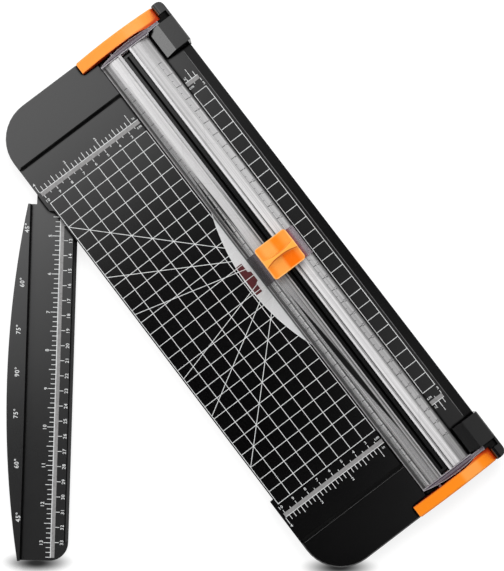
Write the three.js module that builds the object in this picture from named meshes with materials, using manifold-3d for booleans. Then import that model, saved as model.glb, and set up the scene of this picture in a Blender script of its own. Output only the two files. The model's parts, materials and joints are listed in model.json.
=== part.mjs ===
// Rotary paper trimmer: a desk machine whose blade carriage slides along a rail that lifts.
// All lengths are millimetres. X runs along the cut, Y points to the hinge side, Z points up.
// While the pieces are made, the cut line is Y = 0, the base's middle is X = 0 and the ground is Z = 0.

import * as THREE from "three";
import { mergeVertices } from "three/addons/utils/BufferGeometryUtils.js";
import Module from "manifold-3d";

// Base moulding
const baseLength = 377;
const baseDepth = 142.5;
const rearMargin = 39;
const deckHeight = 12;
const deckThickness = 2.5;
const skirtWall = 2.4;
const skirtLift = 2;
const cheekRise = 2;
const frontCornerRadius = 28;
const rearCornerRadius = 5;
const edgeChamfer = 0.8;
const rearBevelDepth = 6.5;
const rearBevelDrop = 3;
const laneGap = 0.65;
const ribThickness = 1.4;
const ribPitch = 34;
const ribLift = 1.2;

// Hinge corner of the base
const hingeOverhang = 1.1;
const postWidth = 7.9;
const lugGap = 5.1;
const hingeBlockWidth = 20.5;
const blockGap = 2;
const blockAbovePin = 4;
const blockFlat = 11.8;
const blockNose = 4;
const rearWall = 1.5;
const knuckleRadius = 2.9;
const pinRadius = 1.2;
const pinClearance = 0.2;
const pinGrip = 9;
const pinInset = 0.6;

// Cutting strip and inlay, let into the deck
const stripWidth = 7.4;
const stripThickness = 1.7;
const stripEndInset = 3;
const grooveWidth = 1.6;
const grooveDepth = 1.4;
const troughWall = 1.6;
const seatGap = 0.15;
const moonHalfChord = 55;
const moonDepth = 10.2;
const moonTail = 3;
const moonThickness = 0.8;

// Rubber feet
const footRadius = 6;
const footHeight = 3;
const footChamfer = 0.6;
const footPegRadius = 2.2;
const footPegHeight = 3;
const footSocketWall = 1.8;
const footInset = 17;

// Clear rail
const railHalfWidth = 18.75;
const railHeight = 6.8;
const paperGap = 0.4;
const slotWidth = 6.6;
const lipWidth = 2;
const wingDrop = 0.8;
const flatWidth = 6;
const bevelWidth = 1.8;
const bevelDrop = 1.2;
const slopeDrop = 3.2;
const edgeLip = 0.5;
const railStripThickness = 0.5;
const wingWall = 1.6;
const lipThickness = 2.6;
const channelWidth = 14.8;
const legWidth = 1.4;
const outerLegWidth = 2.55;
const railEndInset = 0.5;
const endBulge = 4.4;
const endFlat = 1;
const endProud = 0.3;
const endReach = 12;
const endTail = 5;
const lugRadius = 3;
const lugWidth = 4.1;
const lugNeck = 2.1;
const pinBelowRailTop = 1.2;

// Lifting arms
const armWidth = 8.2;
const armShoulder = 1.8;
const armShoulderStart = 10;
const armShoulderEnd = 21;
const armFrontReach = 12;
const armRearHeight = 4.4;
const armCrownHeight = 9.8;
const armFrontHeight = 4;
const armTabRise = 1.2;
const armSeat = 0.2;
const armChamfer = 0.9;
const armScrewSpacing = 16;
const armScrewRadius = 1.1;
const armScrewHeadRadius = 2.3;
const armScrewHead = 1.6;
const armScrewDriveWidth = 0.7;
const armScrewDriveDepth = 0.7;

// Carriage
const carriageRest = -4.5;
const slideGap = 0.3;
const saddleLength = 22.6;
const saddleWaist = 21;
const saddleThickness = 1.2;
const curbWall = 1;
const curbHeight = 3;
const springSeatHeight = 0.3;
const keeperThickness = 2.2;
const keeperScrewRadius = 0.7;
const keeperScrewHeadRadius = 1.4;
const keeperScrewHead = 0.8;
const postLength = 2.5;

// Blade and its case
const bladeRadius = 7;
const bladeThickness = 0.4;
const bladeBevel = 0.8;
const bladeLift = 1;
const pressTravel = 1.9;
const axleRadius = 0.9;
const axleClearance = 0.1;
const hubBossRadius = 2;
const hubFlangeRadius = 3.2;
const hubFlange = 0.45;
const caseWall = 2;
const caseGap = 0.9;
const caseRim = 1.2;
const caseShoulder = 1.1;
const caseSeam = 0.1;
const caseKeelTaper = 3;

// Slider cap
const capLength = 24.4;
const capWidth = 25;
const capWall = 1.4;
const capCornerRadius = 2.2;
const capCrown = 1.4;
const scoopDepth = 3.8;
const ridgeNeck = 0.9;
const ridgeFlare = 3.2;
const endDipShare = 0.5;
const capGridX = 28;
const capGridY = 14;

// Cap springs
const springRadius = 2;
const springWire = 0.3;
const springTurns = 3.5;
const springStepsPerTurn = 10;
const springSides = 3;

// Side ruler, drawn folded: its length runs along X from the pivot and its raised strip is at the front
const pivotEndInset = 49.5;
const pivotFrontInset = 17.8;
const rulerThickness = 3;
const rulerDeckGap = 0.3;
const rulerRearReach = 15.7;
const rulerFrontReach = 14.8;
const rulerNeckReach = 11.7;
const rulerNeckLength = 20.3;
const rulerTipInset = 71.2;
const rulerCornerRadius = 12;
const rulerStripEndReach = 17.3;
const rulerStripBow = 10.4;
const rulerStripOverrun = 0.5;
const notchDepth = 2.5;
const notchGap = 0.4;
const notchEndGap = 3;
const bayGap = 1.2;
const bayRearGap = 0.8;
const rulerEdgeBevel = 2;
const rulerEdgeDrop = 1.6;
const rulerGrooveWidth = 0.6;
const rulerGrooveDepth = 0.5;
const restAngle = 38.67;

// Ruler pivot
const pivotBossRadius = 4.7;
const pivotClearance = 0.3;
const washerRadius = 8;
const washerThickness = 1;
const pivotScrewRadius = 1.5;
const pivotScrewHeadRadius = 3.5;
const pivotScrewHead = 1.8;
const crossWidth = 1;
const crossDepth = 0.9;
const crossReachShare = 0.5;

// Faceting and cutting
const arcSegments = 5;
const bowSegments = 12;
const smallRoundSegments = 16;
const largeRoundSegments = 32;
const weldTolerance = 0.0001;
const overrun = 1;

// Finishes
const blackPlastic = { color: 0x2b2c2e, roughness: 0.55, metalness: 0 };
const greyPlastic = { color: 0x45464a, roughness: 0.5, metalness: 0 };
const orangePlastic = { color: 0xff9a2e, roughness: 0.4, metalness: 0 };
const clearPlastic = { color: 0xe3e8ea, roughness: 0.1, metalness: 0 };
const smokedPlastic = { color: 0x5a4a55, roughness: 0.2, metalness: 0 };
const blackRubber = { color: 0x17181a, roughness: 0.85, metalness: 0 };
const silverStrip = { color: 0xc9ccce, roughness: 0.3, metalness: 0.9 };
const silverInlay = { color: 0xc9ccce, roughness: 0.4, metalness: 0.6 };
const brightSteel = { color: 0xb4b8bc, roughness: 0.3, metalness: 1 };
const groundSteel = { color: 0xb4b8bc, roughness: 0.2, metalness: 1 };

// Heights, worked out from the ground up
const deckTop = deckHeight;
const deckUnder = deckTop - deckThickness;
const cheekTop = deckTop + cheekRise;
const railBottom = deckTop + paperGap;
const lipTop = railBottom + railHeight;
const flatTop = lipTop - wingDrop;
const bevelFoot = flatTop - bevelDrop;
const edgeTop = bevelFoot - slopeDrop;
const channelTop = lipTop - lipThickness;
const pinZ = lipTop - pinBelowRailTop;
const blockTop = pinZ + blockAbovePin;
const postTop = pinZ + knuckleRadius;
const rulerTop = deckUnder - rulerDeckGap;
const rulerBottom = rulerTop - rulerThickness;
const pivotScrewTip = deckTop - deckThickness / 2;

// Places along X, the same on both ends
const baseEnd = baseLength / 2;
const postInner = baseEnd - postWidth;
const blockOuter = postInner - lugGap;
const cheekInner = blockOuter - hingeBlockWidth;
const railEnd = blockOuter - railEndInset;
const armInner = baseEnd - armWidth;
const pivotX = pivotEndInset - baseEnd;
const rulerLength = baseLength - pivotEndInset - rulerTipInset;
const rulerTipX = pivotX + rulerLength + rulerStripOverrun;
const notchEndX = rulerTipX + notchEndGap;

// Places along Y
const rearEdge = rearMargin;
const frontEdge = rearMargin - baseDepth;
const hingeRear = rearEdge + hingeOverhang;
const pinY = hingeRear - rearWall - pinClearance * 2 - lugRadius;
const postFront = pinY - knuckleRadius;
const armRear = postFront - slideGap;
const armFront = -(railHalfWidth + armFrontReach);
const blockFront = railHalfWidth + blockGap;
const cheekRear = -(railHalfWidth + laneGap);
const pivotY = frontEdge + pivotFrontInset;
const notchEdge = frontEdge + notchDepth;
const rulerStripInner = pivotFrontInset - notchDepth + notchGap;

// Places across the rail
const slotHalf = slotWidth / 2;
const lipEnd = slotHalf + lipWidth;
const railStripInner = lipEnd + seatGap;
const flatEnd = railStripInner + flatWidth;
const bevelEnd = flatEnd + bevelWidth;
const railStripOuter = railHalfWidth - edgeLip - seatGap;
const channelHalf = channelWidth / 2;

// Carriage, blade and cap
const bladeAxisZ = deckTop + bladeLift + bladeRadius;
const saddleCentreTop = lipTop + slideGap + saddleThickness;
const saddleFlatTop = flatTop + slideGap + saddleThickness;
const pressRoom = pressTravel + slideGap;
const keelHalf = caseGap + caseWall;
const caseReach = bladeRadius + slideGap;
const caseRadius = bladeRadius + caseRim;
const caseShoulderZ = saddleCentreTop + pressRoom;
const windowHalfLength = caseReach + slideGap;
const windowHalfWidth = keelHalf + slideGap;
const keeperTop = channelTop - slideGap;
const keeperBottom = keeperTop - keeperThickness;
const capBottom = saddleFlatTop + pressRoom;
const capInnerTop = bladeAxisZ + caseRadius + slideGap;
const capTop = capInnerTop + capWall + capCrown;
const capCeiling = capTop - scoopDepth - capWall;
const springY = (keelHalf + caseShoulder + capWidth / 2 - capWall - curbWall) / 2;
const springFoot = saddleCentreTop + springSeatHeight;

// Turns of the axes: the columns say where a drawing's x, y and extrusion go
const drawingYZ = new THREE.Matrix4().set(0, 0, 1, 0, 1, 0, 0, 0, 0, 1, 0, 0, 0, 0, 0, 1);
const drawingXZ = new THREE.Matrix4().set(1, 0, 0, 0, 0, 0, -1, 0, 0, 1, 0, 0, 0, 0, 0, 1);

const wasm = await Module();
wasm.setup();

// Makes a solid that can be joined and cut, on a fine grid so that faces meant to line up do
function solid(geometry) {
  const bare = geometry.index ? geometry.toNonIndexed() : geometry.clone();
  bare.deleteAttribute("normal");
  bare.deleteAttribute("uv");
  const places = bare.attributes.position.array;
  for (let i = 0; i < places.length; i += 1) {
    places[i] = Math.round(places[i] / weldTolerance) * weldTolerance;
  }
  const merged = mergeVertices(bare, weldTolerance);
  const mesh = new wasm.Mesh({
    numProp: merged.attributes.position.itemSize,
    vertProperties: merged.attributes.position.array,
    triVerts: Uint32Array.from(merged.index.array),
  });
  return new wasm.Manifold(mesh);
}

// Turns a finished solid into a named mesh
function piece(name, form, finish) {
  const made = form.getMesh();
  const geometry = new THREE.BufferGeometry();
  geometry.setAttribute("position", new THREE.BufferAttribute(made.vertProperties, made.numProp));
  geometry.setIndex(new THREE.BufferAttribute(made.triVerts, 1));
  geometry.computeVertexNormals();
  const material = new THREE.MeshStandardMaterial(finish);
  const mesh = new THREE.Mesh(geometry, material);
  mesh.name = name;
  return mesh;
}

function joined(forms) {
  return forms.reduce((sum, form) => sum.add(form));
}

function cut(form, cutters) {
  return cutters.reduce((rest, cutter) => rest.subtract(cutter), form);
}

function polygon(points) {
  return new THREE.Shape(points.map(([x, y]) => new THREE.Vector2(x, y)));
}

function block([x0, x1], [y0, y1], [z0, z1]) {
  const geometry = new THREE.BoxGeometry(x1 - x0, y1 - y0, z1 - z0);
  geometry.translate((x0 + x1) / 2, (y0 + y1) / 2, (z0 + z1) / 2);
  return solid(geometry);
}

// Extrudes a drawing, with an optional chamfer around both ends
function extruded(shape, depth, chamfer, segments) {
  const geometry = new THREE.ExtrudeGeometry(shape, {
    depth: depth - chamfer * 2,
    curveSegments: segments,
    bevelEnabled: chamfer > 0,
    bevelThickness: chamfer,
    bevelSize: chamfer,
    bevelOffset: -chamfer,
    bevelSegments: 1,
  });
  return geometry.translate(0, 0, chamfer);
}

function prismZ(shape, [z0, z1], chamfer = 0, segments = arcSegments) {
  return solid(extruded(shape, z1 - z0, chamfer, segments).translate(0, 0, z0));
}

function prismX(shape, [x0, x1], chamfer = 0, segments = arcSegments) {
  return solid(extruded(shape, x1 - x0, chamfer, segments).applyMatrix4(drawingYZ).translate(x0, 0, 0));
}

function prismY(shape, [y0, y1], chamfer = 0, segments = arcSegments) {
  return solid(extruded(shape, y1 - y0, chamfer, segments).applyMatrix4(drawingXZ).translate(0, y1, 0));
}

function cylinder(radius, length, segments) {
  return new THREE.CylinderGeometry(radius, radius, length, segments);
}

function rodX(radius, [x0, x1], y, z, segments = smallRoundSegments) {
  const geometry = cylinder(radius, x1 - x0, segments).rotateZ(Math.PI / 2);
  return solid(geometry.translate((x0 + x1) / 2, y, z));
}

function rodY(radius, [y0, y1], x, z, segments = smallRoundSegments) {
  return solid(cylinder(radius, y1 - y0, segments).translate(x, (y0 + y1) / 2, z));
}

function rodZ(radius, [z0, z1], x, y, segments = smallRoundSegments) {
  const geometry = cylinder(radius, z1 - z0, segments).rotateX(Math.PI / 2);
  return solid(geometry.translate(x, y, (z0 + z1) / 2));
}

// Puts two distances from the middle on one side of it, in rising order
function onSide(side, near, far) {
  return side > 0 ? [near, far] : [-far, -near];
}

// Moves an open line of points sideways, keeping its stretches parallel
function offsetLine(points, distance) {
  const normals = points.slice(1).map(([x, y], i) => {
    const [px, py] = points[i];
    const length = Math.hypot(x - px, y - py);
    return [(py - y) / length, (x - px) / length];
  });
  return points.map(([x, y], i) => {
    const [ax, ay] = normals[Math.max(i - 1, 0)];
    const [bx, by] = normals[Math.min(i, normals.length - 1)];
    const scale = distance / (1 + ax * bx + ay * by);
    return [x + (ax + bx) * scale, y + (ay + by) * scale];
  });
}

// Base moulding

function baseOutline(inset) {
  const end = baseEnd - inset;
  const front = frontEdge + inset;
  const rear = rearEdge - inset;
  const fr = Math.max(frontCornerRadius - inset, edgeChamfer * 2);
  const rr = Math.max(rearCornerRadius - inset, edgeChamfer * 2);
  const shape = new THREE.Shape();
  shape.moveTo(fr - end, front);
  shape.lineTo(end - fr, front);
  shape.absarc(end - fr, front + fr, fr, -Math.PI / 2, 0);
  shape.lineTo(end, rear - rr);
  shape.absarc(end - rr, rear - rr, rr, 0, Math.PI / 2);
  shape.lineTo(rr - end, rear);
  shape.absarc(rr - end, rear - rr, rr, Math.PI / 2, Math.PI);
  shape.lineTo(-end, front + fr);
  shape.absarc(fr - end, front + fr, fr, Math.PI, Math.PI * 1.5);
  return shape;
}

// The knuckle's round front lets the arm swing past the post
function cornerPost(side) {
  const profile = new THREE.Shape();
  profile.moveTo(postFront, deckUnder);
  profile.lineTo(hingeRear, deckUnder);
  profile.lineTo(hingeRear, postTop);
  profile.lineTo(pinY, postTop);
  profile.absarc(pinY, pinZ, knuckleRadius, Math.PI / 2, Math.PI);
  const post = prismX(profile, onSide(side, postInner, baseEnd));
  const corner = new THREE.Shape();
  const outer = side * baseEnd;
  const inner = side * (postInner - lugGap);
  corner.moveTo(inner, postFront - overrun);
  corner.lineTo(inner, hingeRear);
  corner.lineTo(outer - side * rearCornerRadius, hingeRear);
  corner.quadraticCurveTo(outer, hingeRear, outer, hingeRear - rearCornerRadius);
  corner.lineTo(outer, postFront - overrun);
  return post.intersect(prismZ(corner, [0, blockTop]));
}

function hingeBlock(side) {
  const profile = polygon([
    [blockFront, deckUnder],
    [hingeRear, deckUnder],
    [hingeRear, blockTop - edgeChamfer],
    [hingeRear - edgeChamfer, blockTop],
    [hingeRear - blockFlat, blockTop],
    [blockFront, deckTop + blockNose],
  ]);
  return prismX(profile, onSide(side, cheekInner, blockOuter));
}

function hingeCorner(side) {
  const wall = block(
    onSide(side, blockOuter - overrun, postInner + overrun),
    [hingeRear - rearWall, hingeRear],
    [deckUnder, postTop],
  );
  const foot = block(
    onSide(side, cheekInner, baseEnd - rearCornerRadius),
    [rearEdge - rearCornerRadius, hingeRear],
    [skirtLift, deckTop],
  );
  return joined([cornerPost(side), hingeBlock(side), wall, foot]);
}

function rearBevel() {
  const wedge = polygon([
    [rearEdge - rearBevelDepth, deckTop],
    [rearEdge + overrun, deckTop - rearBevelDrop],
    [rearEdge + overrun, deckTop + overrun],
    [rearEdge - rearBevelDepth, deckTop + overrun],
  ]);
  return prismX(wedge, [-cheekInner, cheekInner]);
}

// The half-moon at the middle of the rail's front edge, a segment of a large circle
function moonOutline(gap) {
  const radius = (moonHalfChord ** 2 + moonDepth ** 2) / (moonDepth * 2);
  const centreY = radius - railHalfWidth - moonDepth;
  const reach = radius + gap;
  const half = Math.asin((moonHalfChord + gap) / reach);
  const shape = new THREE.Shape();
  shape.moveTo(moonHalfChord + gap, moonTail + gap - railHalfWidth);
  shape.lineTo(-moonHalfChord - gap, moonTail + gap - railHalfWidth);
  shape.absarc(0, centreY, reach, -Math.PI / 2 - half, half - Math.PI / 2);
  return shape;
}

function footPlaces() {
  const x = baseEnd - footInset;
  const front = frontEdge + footInset;
  const rear = rearEdge - footInset;
  return { front_left: [-x, front], front_right: [x, front], rear_left: [-x, rear], rear_right: [x, rear] };
}

// The open bay under the table in which the ruler folds away
function rulerBay() {
  const x0 = pivotX - rulerFrontReach - bayGap;
  const y1 = pivotY + rulerRearReach + bayRearGap;
  return block([x0, notchEndX], [frontEdge - overrun, y1], [0, deckUnder]);
}

function bayWalls() {
  const x0 = pivotX - rulerFrontReach - bayGap;
  const y1 = pivotY + rulerRearReach + bayRearGap;
  return block(
    [x0 - ribThickness, notchEndX + ribThickness],
    [frontEdge + overrun, y1 + ribThickness],
    [skirtLift, deckUnder + overrun],
  );
}

// Ribs stiffen the deck from below, at an even pitch both ways
function ribs() {
  const height = [skirtLift + ribLift, deckUnder + overrun];
  const half = ribThickness / 2;
  const made = [];
  const across = Math.floor((baseEnd - skirtWall) / ribPitch);
  for (let i = -across; i <= across; i += 1) {
    const x = i * ribPitch;
    made.push(block([x - half, x + half], [frontEdge + overrun, rearEdge - overrun], height));
  }
  const first = pivotY + rulerRearReach + bayRearGap;
  const along = Math.floor((rearEdge - first) / ribPitch);
  for (let i = 1; i <= along; i += 1) {
    const y = first + i * ribPitch;
    made.push(block([overrun - baseEnd, baseEnd - overrun], [y - half, y + half], height));
  }
  return made;
}

function footSockets() {
  return Object.values(footPlaces()).map(([x, y]) =>
    rodZ(footRadius + footSocketWall, [skirtLift, deckUnder + overrun], x, y));
}

function footHoles() {
  return Object.values(footPlaces()).flatMap(([x, y]) => [
    rodZ(footRadius + seatGap, [0, footHeight + seatGap], x, y),
    rodZ(footPegRadius + seatGap, [0, footHeight + footPegHeight + seatGap], x, y),
  ]);
}

// The table's front edge steps back where the folded ruler's strip lies
function rulerNotch() {
  const slab = block([pivotX, notchEndX], [frontEdge - overrun, notchEdge], [0, cheekTop + overrun]);
  const start = Math.hypot(rulerNeckLength, rulerStripInner) - slideGap * 2;
  return slab.subtract(rodZ(start, [-overrun, cheekTop + overrun * 2], pivotX, pivotY, largeRoundSegments));
}

function makeBase() {
  const shell = prismZ(baseOutline(0), [skirtLift, cheekTop], edgeChamfer)
    .subtract(block([-cheekInner, cheekInner], [frontEdge - overrun, hingeRear], [deckTop, blockTop]))
    .subtract(block([-baseEnd - overrun, baseEnd + overrun], [cheekRear, hingeRear], [deckTop, blockTop]))
    .add(hingeCorner(1))
    .add(hingeCorner(-1));
  const armRebates = [-1, 1].map((side) => block(
    onSide(side, armInner - slideGap, baseEnd + overrun),
    [armFront - slideGap, postFront],
    [deckTop, blockTop],
  ));
  const lugRooms = [-1, 1].map((side) => block(
    onSide(side, blockOuter, postInner),
    [cheekRear, hingeRear - rearWall],
    [deckTop, blockTop],
  ));
  const hollow = prismZ(baseOutline(skirtWall), [0, deckUnder]);
  const inside = prismZ(baseOutline(overrun), [skirtLift, deckTop]);
  const trough = block(
    [stripEndInset - railEnd - troughWall, railEnd - stripEndInset + troughWall],
    [-stripWidth / 2 - troughWall, stripWidth / 2 + troughWall],
    [deckUnder - troughWall, deckTop],
  );
  const bracing = joined([...ribs(), ...footSockets(), bayWalls(), trough]).intersect(inside);
  const boss = rodZ(pivotBossRadius, [rulerBottom - slideGap, deckTop], pivotX, pivotY);
  const channel = block(
    [stripEndInset - railEnd - seatGap, railEnd - stripEndInset + seatGap],
    [-stripWidth / 2 - seatGap, stripWidth / 2 + seatGap],
    [deckTop - stripThickness - seatGap, cheekTop],
  );
  const moonFloor = deckTop - moonThickness - seatGap;
  const moonSeat = prismZ(moonOutline(seatGap), [moonFloor, cheekTop], 0, bowSegments);
  const pinHoles = [-1, 1].map((side) =>
    rodX(pinRadius + pinClearance, onSide(side, blockOuter - pinGrip, baseEnd + overrun), pinY, pinZ));
  const screwHole = rodZ(pivotScrewRadius + pinClearance, [0, pivotScrewTip + pinClearance], pivotX, pivotY);
  const body = cut(shell, [hollow, ...armRebates, ...lugRooms]).add(bracing).subtract(rulerBay()).add(boss);
  return cut(body, [rearBevel(), rulerNotch(), channel, moonSeat, ...footHoles(), ...pinHoles, screwHole]);
}

// Pieces seated in the base

function makeCuttingStrip() {
  const half = stripWidth / 2;
  const bottom = deckTop - stripThickness;
  const profile = polygon([
    [-half, bottom],
    [half, bottom],
    [half, deckTop],
    [grooveWidth / 2, deckTop],
    [grooveWidth / 2, deckTop - grooveDepth],
    [-grooveWidth / 2, deckTop - grooveDepth],
    [-grooveWidth / 2, deckTop],
    [-half, deckTop],
  ]);
  return prismX(profile, [stripEndInset - railEnd, railEnd - stripEndInset]);
}

function makeMoonInlay() {
  return prismZ(moonOutline(0), [deckTop - moonThickness, deckTop], 0, bowSegments);
}

function makeFoot([x, y]) {
  const profile = [
    [0, 0],
    [footRadius - footChamfer, 0],
    [footRadius, footChamfer],
    [footRadius, footHeight],
    [footPegRadius, footHeight],
    [footPegRadius, footHeight + footPegHeight],
    [0, footHeight + footPegHeight],
  ].map(([r, h]) => new THREE.Vector2(r, h));
  const geometry = new THREE.LatheGeometry(profile, smallRoundSegments).rotateX(Math.PI / 2);
  return solid(geometry.translate(x, y, 0));
}

function makeHingePin(side) {
  return rodX(pinRadius, onSide(side, blockOuter - pinGrip + pinInset, baseEnd - pinInset), pinY, pinZ);
}

// Side ruler

function rulerPlate() {
  const tip = rulerLength;
  const rear = rulerRearReach;
  const cr = rulerCornerRadius;
  const nearCentre = (rulerRearReach - rulerNeckReach) / 2;
  const nearRadius = (rulerRearReach + rulerNeckReach) / 2;
  const shape = new THREE.Shape();
  shape.moveTo(0, -rulerNeckReach);
  shape.lineTo(rulerNeckLength, -rulerNeckReach);
  shape.lineTo(rulerNeckLength, -rulerFrontReach);
  shape.lineTo(tip, -rulerFrontReach);
  shape.lineTo(tip, rear - cr);
  shape.absarc(tip - cr, rear - cr, cr, 0, Math.PI / 2);
  shape.lineTo(0, rear);
  shape.absarc(0, nearCentre, nearRadius, Math.PI / 2, Math.PI * 1.5);
  return prismZ(shape, [rulerBottom, rulerTop]);
}

// The raised strip bows outwards like a shallow arc and lies flush with the table when folded
function rulerStrip() {
  const start = rulerNeckLength;
  const end = rulerLength + rulerStripOverrun;
  const half = (end - start) / 2;
  const radius = (half ** 2 + rulerStripBow ** 2) / (rulerStripBow * 2);
  const centreX = (start + end) / 2;
  const centreY = radius - rulerStripEndReach - rulerStripBow;
  const angle = Math.asin(half / radius);
  const shape = new THREE.Shape();
  shape.moveTo(end, -rulerStripInner);
  shape.lineTo(start, -rulerStripInner);
  shape.absarc(centreX, centreY, radius, -Math.PI / 2 - angle, angle - Math.PI / 2);
  const raised = prismZ(shape, [rulerBottom, deckTop], 0, bowSegments);
  const webY = [-rulerStripInner - overrun, overrun - rulerFrontReach];
  const web = block([start, rulerLength], webY, [rulerBottom, rulerTop]);
  return raised.add(web);
}

function rulerEdgeCuts() {
  const end = rulerLength - rulerCornerRadius;
  const bevelStart = rulerRearReach - rulerEdgeBevel;
  const wedge = polygon([
    [bevelStart, rulerTop],
    [rulerRearReach + overrun, rulerTop - rulerEdgeDrop * (1 + overrun / rulerEdgeBevel)],
    [rulerRearReach + overrun, rulerTop + overrun],
    [bevelStart, rulerTop + overrun],
  ]);
  const groove = block(
    [rulerNeckLength, end],
    [bevelStart - rulerGrooveWidth, bevelStart],
    [rulerTop - rulerGrooveDepth, rulerTop + overrun],
  );
  return [prismX(wedge, [rulerNeckLength, end]), groove];
}

function makeSideRuler() {
  const hole = rodZ(pivotBossRadius + pivotClearance, [0, deckTop + overrun], 0, 0);
  return cut(rulerPlate().add(rulerStrip()), [...rulerEdgeCuts(), hole]);
}

function makePivotWasher() {
  const top = rulerBottom - slideGap * 2;
  return rodZ(washerRadius, [top - washerThickness, top], pivotX, pivotY)
    .subtract(rodZ(pivotScrewRadius + pinClearance, [0, deckTop], pivotX, pivotY));
}

function crossDrive([z0, z1]) {
  const half = crossWidth / 2;
  const reach = pivotScrewHeadRadius * crossReachShare;
  const along = block([-reach, reach], [-half, half], [z0, z1]);
  const across = block([-half, half], [-reach, reach], [z0, z1]);
  return along.add(across);
}

function makePivotScrew() {
  const seat = rulerBottom - slideGap * 2 - washerThickness - seatGap;
  const head = seat - pivotScrewHead;
  return rodZ(pivotScrewHeadRadius, [head, seat], 0, 0)
    .add(rodZ(pivotScrewRadius, [seat - pivotScrewHead / 2, pivotScrewTip], 0, 0))
    .subtract(crossDrive([head - overrun, head + crossDepth]))
    .translate([pivotX, pivotY, 0]);
}

// Rail

// Top of a silver strip, from the slot outwards
function railStripTop() {
  return [
    [railStripInner, flatTop],
    [flatEnd, flatTop],
    [bevelEnd, bevelFoot],
    [railStripOuter, edgeTop],
  ];
}

function wingProfile(side) {
  const seat = offsetLine(railStripTop(), -railStripThickness - seatGap);
  const seatEnd = seat[seat.length - 1][1];
  const hollowTop = flatTop - railStripThickness - wingWall;
  const points = [
    [slotHalf, lipTop],
    [lipEnd, lipTop],
    [lipEnd, seat[0][1]],
    ...seat.slice(1),
    [railHalfWidth - edgeLip, seatEnd],
    [railHalfWidth - edgeLip, edgeTop],
    [railHalfWidth, edgeTop],
    [railHalfWidth, railBottom],
    [railHalfWidth - outerLegWidth, railBottom],
    [flatEnd, hollowTop],
    [channelHalf + legWidth, hollowTop],
    [channelHalf + legWidth, railBottom],
    [channelHalf, railBottom],
    [channelHalf, channelTop],
    [slotHalf, channelTop],
  ];
  return polygon(points.map(([y, z]) => [y * side, z]));
}

// A bowed end piece closes the slot and joins the two wings
function railEndPiece(side) {
  const rear = blockFront + endReach;
  const front = -(railHalfWidth + endProud);
  const middle = (rear + front) / 2;
  const half = (rear - front) / 2;
  const bow = endBulge - endFlat;
  const radius = (half ** 2 + bow ** 2) / (bow * 2);
  const angle = Math.asin(half / radius);
  const centre = side * (railEnd + endBulge - radius);
  const shape = new THREE.Shape();
  shape.moveTo(side * railEnd, rear);
  shape.lineTo(side * railEnd, front);
  if (side > 0) {
    shape.absarc(centre, middle, radius, -angle, angle);
  } else {
    shape.absarc(centre, middle, radius, Math.PI + angle, Math.PI - angle, true);
  }
  const blockRoom = block(
    onSide(side, railEnd - overrun, blockOuter + railEndInset),
    [blockFront - slideGap * 2, rear + overrun],
    [0, blockTop],
  );
  const tailRoom = block(
    onSide(side, railEnd - overrun, baseEnd),
    [blockFront + endTail, rear + overrun],
    [0, blockTop],
  );
  return cut(prismZ(shape, [railBottom + endProud, lipTop + endProud]), [blockRoom, tailRoom]);
}

function hingeLug(side) {
  const start = railHalfWidth;
  const profile = new THREE.Shape();
  profile.moveTo(start, railBottom);
  profile.lineTo(pinY, pinZ - lugRadius);
  profile.absarc(pinY, pinZ, lugRadius, -Math.PI / 2, Math.PI / 2);
  profile.lineTo(start, lipTop);
  const inner = blockOuter + railEndInset;
  const neck = prismX(profile, onSide(side, inner - endProud / 2, inner + lugNeck));
  return neck.add(rodX(lugRadius, onSide(side, inner, inner + lugWidth), pinY, pinZ));
}

function armScrewPlaces() {
  return [-armScrewSpacing / 2, armScrewSpacing / 2];
}

function armScrewZ() {
  return (railBottom + lipTop) / 2;
}

function makeClearRail() {
  const reach = railEnd + endFlat / 2;
  const wings = [-1, 1].map((side) => prismX(wingProfile(side), [-reach, reach]));
  const ends = [-1, 1].flatMap((side) => [railEndPiece(side), hingeLug(side)]);
  const screwHoles = [-1, 1].flatMap((side) => armScrewPlaces().map((y) =>
    rodX(armScrewRadius + pinClearance, onSide(side, railEnd + endFlat, baseEnd), y, armScrewZ())));
  const pinHoles = [-1, 1].map((side) =>
    rodX(pinRadius + pinClearance, onSide(side, railEnd, baseEnd), pinY, pinZ));
  return cut(joined([...wings, ...ends]), [...screwHoles, ...pinHoles]);
}

function makeRailStrip(side) {
  const top = railStripTop();
  const under = offsetLine(top, -railStripThickness).reverse();
  const profile = polygon([...top, ...under].map(([y, z]) => [y * side, z]));
  return prismX(profile, [seatGap - railEnd, railEnd - seatGap]);
}

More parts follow.
